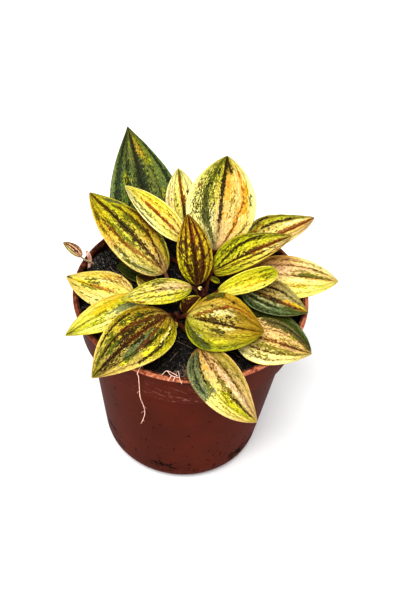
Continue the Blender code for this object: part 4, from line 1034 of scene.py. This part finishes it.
# The pot is a path of radius and height carried round Z. Its thin wall isn't quite round: the radius
# varies by a few low waves round the pot, which fade out at the rim.
def makePot(finish):
    p = pot
    ledge = p["height"] - p["collar"]
    low = p["height"] - p["lipThick"]
    foot, w = p["foot"] - p["footDraw"], p["wall"]
    corners = [(0, 0, 0), (foot, 0, 8), (p["bodyTop"], ledge - p["ledge"], 0.5),
               (p["collarLow"], ledge, 0.5), (p["rim"] - p["overhang"], low, 0.3), (p["rim"], low, 0.25),
               (p["rim"], p["height"], 0.55), (p["rim"] - p["lip"], p["height"], 0.5),
               (p["rim"] - p["lip"], low - 0.4, 0.3), (p["collarLow"] - w, ledge, 0.8),
               (p["bodyTop"] - w, ledge - p["ledge"], 0.8), (foot - w, w, 7), (0, w, 0)]
    path = roundedPath(corners)
    turn = angles(p["steps"])
    radius, height = path[1:-1, :1], path[1:-1, 1:]
    wave = p["wave"] * (np.sin(2 * turn + 0.6) + 0.6 * np.sin(3 * turn + 2) + 0.4 * np.sin(7 * turn))
    radius = radius + wave * (1 - smoothStep(height, 60, low)) * smoothStep(height, 0, 20)
    rings = np.stack([radius * np.cos(turn), radius * np.sin(turn), height + 0 * turn], -1)
    points = np.vstack([rings.reshape(-1, 3), [(0, 0, path[0, 1]), (0, 0, path[-1, 1])]])
    made = makePiece("potShell", points, closedFaces(len(radius), p["steps"]))
    turns = (np.arange(p["holes"]) + 0.5) * 2 * np.pi / p["holes"]
    places = p["holeCircle"] * np.stack([np.cos(turns), np.sin(turns), 0 * turns], -1)
    rod = np.array([(0, 0, -4.0), (0, 0, 5.0)])
    rods = [sweep(rod + place, (p["holeRadius"],) * 2, (1, 0, 0), p["holeSides"]) for place in places]
    cutter = makePiece("holeCutter", *gather(rods))
    cut = made.modifiers.new("holes", "BOOLEAN")
    cut.object, cut.operation = cutter, "DIFFERENCE"
    bpy.context.view_layer.update()
    mesh = bpy.data.meshes.new_from_object(made.evaluated_get(bpy.context.evaluated_depsgraph_get()))
    bpy.data.objects.remove(made)
    bpy.data.objects.remove(cutter)
    mesh.materials.clear()
    mesh.materials.append(finish)
    mesh.shade_smooth()
    mesh.set_sharp_from_angle(angle=math.radians(p["sharp"]))
    made = bpy.data.objects.new("pot_skin", mesh)
    scene.collection.objects.link(made)
    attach(made, "root")
    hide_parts("pot")


# Marks on the pot, with a painted highlight on its lip and painted shade inside its wall. smudges: the
# place of each in millimetres, its half sizes across and up, and its strength. The pairs of lengths under
# them are in metres and say where a mark fades in or out.
potMarks = dict(
    smudges=[((-8.5, -46, 14), 9, 3.8, 1), ((-2, -46.5, 11), 2.4, 2, 0.9), ((5, -46, 13), 2.2, 3.2, 0.9),
             ((11, -44.5, 8), 3.6, 3.4, 1), ((32, -31, 12), 8, 5, 1), ((39, -22, 13), 4, 4, 0.9),
             ((-38, -26, 22), 6, 3.5, 0.8), ((-34, -31, 13), 5, 3, 0.6), ((45, -14, 31), 2, 4, 0.8)],
    lipFrom=(0.1036, 0.1046), sunnyFrom=(-0.045, -0.02), wallSlope=0.125, wallIn=(0.0449, 0.0453),
    wallFrom=(0.0855, 0.087), heapTo=(-0.034, -0.026), heapBehind=(-0.012, -0.002), clumpMiddle=0.004,
    clumpTo=(0.005, 0.009), clumpFront=(-0.04, -0.03), lipOut=(0.0588, 0.0598), strewnFrom=(0.1, 0.104),
    scuffFrom=(0.078, 0.088), scuffTo=(0.094, 0.1), scuffSlant=0.22, scuffFront=(-0.05, -0.04),
    scuffLeft=(-0.03, -0.015), scuffRight=(0.01, 0.02), footTo=(0.004, 0.06),
    base=paint(68, 22, 8), faded=paint(85, 30, 14), lip=paint(186, 120, 86), worn=paint(118, 54, 38),
    dirt=paint(26, 13, 8), dust=paint(178, 138, 124))


def potSkin():
    m = potMarks
    skin = Skin("potPlastic")
    place = skin.place()
    x, y, z = skin.parts(place)
    broad = skin.noise(place, 24.0, 3)
    fine = skin.noise(place, 420.0, 4, 0.7)
    colour = skin.mix(broad.between(0.3, 0.75), m["base"], m["faded"])

    # the lip is worn paler in streaks, and paler still towards the right, where a highlight is painted; its
    # left side stays darker
    grit = skin.noise(skin.scaled(place, 500, 500, 90), 1.0, 4, 0.75)
    paleLip = skin.mix(grit.between(0.36, 0.6), m["worn"], m["lip"])
    lip = z.between(*m["lipFrom"]) * (0.35 + x.between(*m["sunnyFrom"]) * 0.65)
    colour = skin.mix(lip, colour, paleLip)
    colour = skin.tinted(colour, 0.86 + fine * 0.28)

    # the inside of the wall is painted dark as shade, and peat lies on the lip at the left
    out = skin.vector("LENGTH", skin.scaled(place, 1, 1, 0), None, 1)
    innerWallShade = (1 - (out - z * m["wallSlope"]).between(*m["wallIn"])) * z.between(*m["wallFrom"])
    heap = (1 - x.between(*m["heapTo"])) * y.between(*m["heapBehind"])
    clump = (1 - abs(x - m["clumpMiddle"]).between(*m["clumpTo"])) * (1 - y.between(*m["clumpFront"]))
    strewn = heap.larger(clump) * (1 - out.between(*m["lipOut"])) * z.between(*m["strewnFrom"])
    peatAndShade = innerWallShade.larger(strewn) * fine.between(0.3, 0.52)
    # painted shade inside the wall and peat on the lip, both in the dirt colour
    colour = skin.mix(peatAndShade * 0.85, colour, m["dirt"])

    # fine pale scuffs on the collar's front, drawn out and slanting
    scratch = skin.noise(skin.scaled(skin.leant(place, m["scuffSlant"]), 170, 170, 1900), 1.0, 3, 0.75)
    band = z.between(*m["scuffFrom"]) * (1 - z.between(*m["scuffTo"]))
    front = (1 - y.between(*m["scuffFront"])) * x.between(*m["scuffLeft"]) * (1 - x.between(*m["scuffRight"]))
    broken = skin.noise(place, 300.0, 2).between(0.45, 0.6)
    scuffs = scratch.between(0.57, 0.66) * band * broken * (0.04 + front * 0.6)
    colour = skin.mix(scuffs, colour, m["dust"])

    # peat specks, thicker near the foot, and the single smudges
    specks = skin.noise(place, 330.0, 3, 0.7)
    low = 1 - z.between(*m["footTo"])
    dirt = specks.between(0.665 - low * 0.055, 0.69 - low * 0.04)
    small = skin.noise(place, 900.0, 2, 0.6)
    dirt = dirt.larger(small.between(0.72 - low * 0.07, 0.75 - low * 0.05) * 0.75)
    for centre, wide, high, strength in m["smudges"]:
        shift = skin.vector("SUBTRACT", place, Vector(centre) * mm)
        reach = skin.vector("LENGTH", skin.scaled(shift, 1000 / wide, 1000 / wide, 1000 / high), None, 1)
        dirt = dirt.larger((1 - (reach + (specks - 0.5) * 5).between(0.3, 0.8)) * strength)
    colour = skin.mix(dirt, colour, m["dirt"])
    rough = 0.5 + broad * 0.15 + dirt * 0.3
    height = fine * 0.5 + broad * 0.5 + dirt * 0.5
    return skin.finish({"Base Color": colour, "Roughness": rough,
                        "Normal": skin.bump(height, 0.0002, 0.35), "Specular IOR Level": 0.04})


makePot(potSkin())
print("pot made")


# Peat
peat = dict(level=98.0, bottom=1.8, mound=1.6, rings=70, steps=220, lump=0.9, seed=11,
            lumps=((1, 0.5, 5), (0.6, 1.3, 6), (0.35, 3.1, 7)), heap=(-52, 17, 16, 6.2),
            crumbs=6800, crumbSize=(0.4, 1.7), crumbEdge=1.2, fibres=210, fibreLength=(4, 16),
            fibreRadius=0.1, fibreReach=(52, 53), clump=(-0.6, -51.2), clumpSpread=2.2,
            clumpLength=(2, 5))


def innerRadius(height):    # the pot's inner wall, less a hair
    ledge = pot["height"] - pot["collar"]
    share = (height - ledge) / (pot["height"] - pot["lipThick"] - ledge)
    start = pot["collarLow"] - pot["wall"]
    return start + (pot["rim"] - pot["lip"] - start) * share - 0.3


# Height of the peat: a low mound, a bell-shaped heap at the left and three sizes of irregular waves.
def peatHeight(x, y):
    reach = np.hypot(x, y) / (pot["rim"] - pot["lip"])
    heapX, heapY, size, rise = peat["heap"]
    lumps = sum(share * waves(x * pace, y * pace, seed) for share, pace, seed in peat["lumps"])
    return (peat["level"] + peat["mound"] * np.maximum(0, 1 - reach ** 2) + peat["lump"] * lumps
            + rise * np.exp(-((x - heapX) ** 2 + (y - heapY) ** 2) / size ** 2))


# Crumbs are 20-sided solids, each point pushed in or out by its own draw, scattered evenly over a disc. The
# sides are the threes among the 12 corners that lie close to each other. Most crumbs are small.
def crumbs(count, seed, reach, sizes):
    draw = np.random.default_rng(seed)
    gold = (1 + 5 ** 0.5) / 2
    one = [(a, b * gold, 0) for a in (-1, 1) for b in (-1, 1)]
    ball = one + [(z, x, y) for x, y, z in one] + [(y, z, x) for x, y, z in one]
    ball = np.array(ball) / math.hypot(1, gold)
    gaps = np.linalg.norm(ball[:, None] - ball[None], axis=-1)
    near = gaps < 1.1
    sides = np.array([(i, j, k) for i in range(12) for j in range(i) for k in range(j)
                      if near[i, j] and near[j, k] and near[i, k]])
    a, b, c = (ball[sides[:, i]] for i in range(3))
    inward = np.einsum("ij,ij->i", np.cross(b - a, c - a), a) < 0
    sides[inward] = sides[inward][:, ::-1]
    turn, away = draw.uniform(0, 2 * np.pi, count), reach * np.sqrt(draw.uniform(0, 1, count))
    x, y = away * np.cos(turn), away * np.sin(turn)
    size = sizes[0] + (sizes[1] - sizes[0]) * draw.uniform(0, 1, count) ** 2.5
    stretch = draw.uniform(0.6, 1.4, (count, 1, 3)) * size[:, None, None]
    shape = ball[None] * draw.uniform(0.7, 1.25, (count, 12, 1)) * stretch
    spin = draw.uniform(0, 2 * np.pi, count)[:, None]
    spunX = shape[..., 0] * np.cos(spin) - shape[..., 1] * np.sin(spin)
    spunY = shape[..., 0] * np.sin(spin) + shape[..., 1] * np.cos(spin)
    middle = peatHeight(x, y) + size * draw.uniform(-0.2, 0.6, count)
    points = np.stack([x[:, None] + spunX, y[:, None] + spunY, middle[:, None] + shape[..., 2]], -1)
    points = points.reshape(-1, 3)
    faces = (np.arange(count)[:, None, None] * 12 + sides[None]).reshape(-1, 3)
    tone = draw.uniform(0, 1, count) * (1 - 0.5 * (size - sizes[0]) / (sizes[1] - sizes[0]))
    return points, [faces], np.repeat(tone, 12)


def peatSkin():
    skin = Skin("peatSkin")
    place = skin.place()
    pale, brown, _ = skin.parts(skin.attribute("crumb"))
    fine = skin.noise(place, 900.0, 4, 0.75)
    patch = skin.noise(place, 170.0, 3)
    fleck = skin.noise(place, 1500.0, 1, 0.5).between(0.58, 0.66)
    bright = (1 - skin.parts(place)[0].between(-0.04, -0.02)) * 0.45 + 0.2
    colour = skin.mix(patch.between(0.45, 0.75), paint(11, 8, 7), paint(25, 18, 14))
    for share, tint in ((brown.between(0.75, 0.98) * 0.7, paint(60, 42, 30)),
                        (pale.between(0.84, 0.92) * 0.8, paint(132, 124, 114)),
                        (fine.between(0.6, 0.7) * 0.6, paint(112, 106, 98)),
                        (fleck * bright, paint(136, 132, 124))):
        colour = skin.mix(share, colour, tint)
    return skin.finish({"Base Color": colour, "Roughness": 0.8 + fine * 0.15,
                        "Normal": skin.bump(fine, 0.0006), "Specular IOR Level": 0.25})


# The bed is a disc of rings at the peat's height, carried down inside the pot's wall to its floor, with the
# crumbs scattered on it.
def makePeat(finish):
    p = peat
    reach = innerRadius(p["level"])
    turn = angles(p["steps"])
    ring = reach * (np.arange(1, p["rings"] + 1) / p["rings"])[:, None]
    x, y = ring * np.cos(turn), ring * np.sin(turn)
    top = np.stack([x, y, peatHeight(x, y)], -1)
    ledge = pot["height"] - pot["collar"]
    walls = np.array([(innerRadius(ledge), ledge),
                      (pot["bodyTop"] - pot["wall"] - 0.4, ledge - pot["ledge"]),
                      (pot["foot"] - pot["wall"] - 1.2, 9.0), (pot["foot"] - pot["footRound"], p["bottom"])])
    radius, height = walls[:, :1], walls[:, 1:]
    sides = np.stack([radius * np.cos(turn), radius * np.sin(turn), height + 0 * turn], -1)
    rings = np.concatenate([top, sides])
    points = np.vstack([rings.reshape(-1, 3), [(0, 0, peatHeight(0, 0)), (0, 0, p["bottom"])]])
    bed = (points, [face[:, ::-1] for face in closedFaces(len(rings), p["steps"])])
    crumbPoints, crumbFaces, tone = crumbs(p["crumbs"], p["seed"], reach - p["crumbEdge"], p["crumbSize"])
    made = makePiece("peat_bed", *gather([bed, (crumbPoints, crumbFaces)]), finish)
    tone = np.concatenate([np.zeros(len(points)), tone])
    setAttribute(made, "crumb", "FLOAT_VECTOR", np.stack([tone, tone * 7 % 1, 0 * tone], -1))
    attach(made, "root")
    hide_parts("soil")


makePeat(peatSkin())
print("peat made")


# Roots, in millimetres: the same routes as the solids
rootForm = dict(radius=0.27, rimRadius=0.19, hairRadius=0.1, sides=10, taper=0.35, knobs=0.18,
                knobPace=60, closeFrom=0.96, closing=0.8)
hangingRoot = [(-19.6, -50.8, 97), (-20.1, -52, 104.3), (-20.6, -53.8, 106.5), (-21.4, -55.7, 106.5),
               (-22, -56.8, 104.5), (-21.5, -55.6, 101), (-21.1, -54.4, 92), (-20.8, -53.6, 85),
               (-20.4, -52.2, 80), (-19.3, -50, 73), (-18.4, -49, 66), (-19, -48.3, 60), (-20.3, -48, 54.5)]
rimRoots = [
    [(-4, -51.8, 97), (-3.6, -53, 103.8), (-2.9, -55.4, 106.4), (-2.1, -59.4, 106.4), (-0.9, -61.4, 105.2)],
    [(-3.2, -57.7, 106.4), (-5.8, -56.4, 106.7), (-8.6, -55.5, 106.7), (-10.7, -58.2, 106.4)],
    [(-8.2, -55.3, 106.6), (-6, -57.8, 106.4), (-2.4, -58.7, 106.4)],
    [(-6, -57.8, 106.4), (-7.4, -61.1, 106.2)],
    [(-4.4, -58.3, 106.4), (-5.1, -61.1, 106.2)]]


def rootSkin(name, pale, dark):
    skin = Skin(name)
    place = skin.place()
    band = skin.noise(place, 350.0, 3)
    colour = skin.mix(band.between(0.35, 0.7), pale, dark)
    return skin.finish({"Base Color": colour, "Roughness": 0.55 + band * 0.2,
                        "Normal": skin.bump(band, 0.0003, 0.5)})


# A root tapers along its route, swells and shrinks by irregular waves, and closes at its end.
def rootTube(points, radius, seed, side, sides=rootForm["sides"], perSpan=8):
    s = rootForm
    route = smoothRoute(points, perSpan)
    share = np.linspace(0, 1, len(route))
    radii = radius * (1 - s["taper"] * share) * (1 + s["knobs"] * waves(share * s["knobPace"], 0, seed))
    radii = radii * np.sqrt(1 - smoothStep(share, s["closeFrom"], 1.0) * s["closing"])
    return sweep(route, radii, side, sides)


def makeRoots():
    finish = rootSkin("rootSkin", paint(246, 208, 190), paint(216, 158, 132))
    across = unit(np.array([0.92, -0.35, 0.05]))
    hairs = [[(-19.2, -49.9, 72), (-18.2, -50.0, 71.2), (-17.6, -49.9, 70)],
             [(-18.5, -49.1, 67), (-19.6, -49.3, 66.3), (-20.2, -49.2, 65)],
             [(-20.9, -54, 88.5), (-21.8, -54, 87.6), (-22.1, -53.8, 86.4)],
             [(-19.2, -48.4, 58.5), (-18.4, -48.1, 57.3)]]
    shapes = [rootTube(hangingRoot, rootForm["radius"], 31, across)]
    shapes += [rootTube(hair, rootForm["hairRadius"], 40 + i, (0, 1, 0), 6) for i, hair in enumerate(hairs)]
    made = makePiece("root_hanging_fine", *gather(shapes), finish)
    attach(made, "root")
    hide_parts("root_hanging")
    shapes = [rootTube(route, rootForm["rimRadius"], 50 + i, (0.35, 0.2, 0.9) if i else (1, 0.1, 0))
              for i, route in enumerate(rimRoots)]
    made = makePiece("root_rim_fine", *gather(shapes), finish)
    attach(made, "root")
    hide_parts("root_rim")


makeRoots()


# Fibres in the peat: short bowed threads that lie on it. The first two are listed, the rest drawn.
def makeFibres():
    p = peat
    draw = np.random.default_rng(p["seed"] + 1)
    threads = [[(-5.5, -29.8), (-1, -32.4), (2.6, -34.2)], [(-7.5, -43), (-5, -38.6), (-1.8, -34.6)]]
    threads = [[(x, y, peatHeight(x, y) + 0.9) for x, y in thread] for thread in threads]
    shapes = [rootTube(thread, 0.17, 70 + i, (0, 0, 1), 5, 6) for i, thread in enumerate(threads)]
    spread, edge = p["fibreReach"]
    for i in range(p["fibres"]):
        if i % 3 < 2:    # two in three lie in a clump at the front
            start = np.array(p["clump"]) + draw.normal(0, p["clumpSpread"], 2)
            length = draw.uniform(*p["clumpLength"])
        else:
            turn, away = draw.uniform(0, 2 * np.pi), spread * math.sqrt(draw.uniform(0, 1))
            start = away * np.array([math.cos(turn), math.sin(turn)])
            length = draw.uniform(*p["fibreLength"])
        heading = draw.uniform(0, 2 * np.pi)
        step = np.array([math.cos(heading), math.sin(heading)])
        bow = np.array([-step[1], step[0]]) * draw.uniform(-0.3, 0.3) * length
        xy = np.array([start, start + step * length / 2 + bow, start + step * length])
        xy *= np.minimum(1, edge / np.linalg.norm(xy, axis=1, keepdims=True))
        lift = np.array([0.1, draw.uniform(0.6, 1.8), 0.2])
        thread = np.column_stack([xy, peatHeight(xy[:, 0], xy[:, 1]) + lift])
        shapes.append(rootTube(thread, p["fibreRadius"] * draw.uniform(0.7, 1.4), 90 + i, (0, 0, 1), 4, 4))
    finish = rootSkin("fibreSkin", paint(160, 136, 112), paint(86, 66, 52))
    made = makePiece("peat_fibres", *gather(shapes), finish)
    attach(made, "root")


makeFibres()
print("roots and fibres made")


# Floor, light and air
studio = dict(floor=1.5, air=0.7, pale=(0.93, 0.93, 0.93), paler=(0.96, 0.96, 0.96), aim=(0, 0, 0.08),
              key=dict(place=(-0.15, -0.4, 0.95), size=0.55, power=9.2),
              fill=dict(place=(0.1, -0.9, 0.35), size=0.5, power=1.0))


def makeStudio():
    s = studio
    skin = Skin("paleFloor")
    speck = skin.noise(skin.place(), 40.0, 2)
    pale = skin.mix(speck, s["pale"], s["paler"])
    finish = skin.finish({"Base Color": pale, "Roughness": 0.9})
    half = s["floor"] / mm
    corners = np.array([(-half, -half, 0), (half, -half, 0), (half, half, 0), (-half, half, 0)], float)
    floor = makePiece("floor", corners, [np.array([[0, 1, 2, 3]])], finish)
    world = bpy.data.worlds.new("air")
    world.use_nodes = True
    inputs = world.node_tree.nodes["Background"].inputs
    inputs["Color"].default_value = (1, 1, 1, 1)
    inputs["Strength"].default_value = s["air"]
    scene.world = world
    for name in ("key", "fill"):
        data = bpy.data.lights.new(name, "AREA")
        data.size, data.energy = s[name]["size"], s[name]["power"]
        lamp = bpy.data.objects.new(name, data)
        scene.collection.objects.link(lamp)
        lamp.location = s[name]["place"]
        aim = Vector(s["aim"]) - lamp.location
        lamp.rotation_euler = aim.to_track_quat("-Z", "Y").to_euler()
    scene.view_settings.view_transform = "Standard"
    scene.view_settings.look = "Medium High Contrast"


makeStudio()
print("studio made")
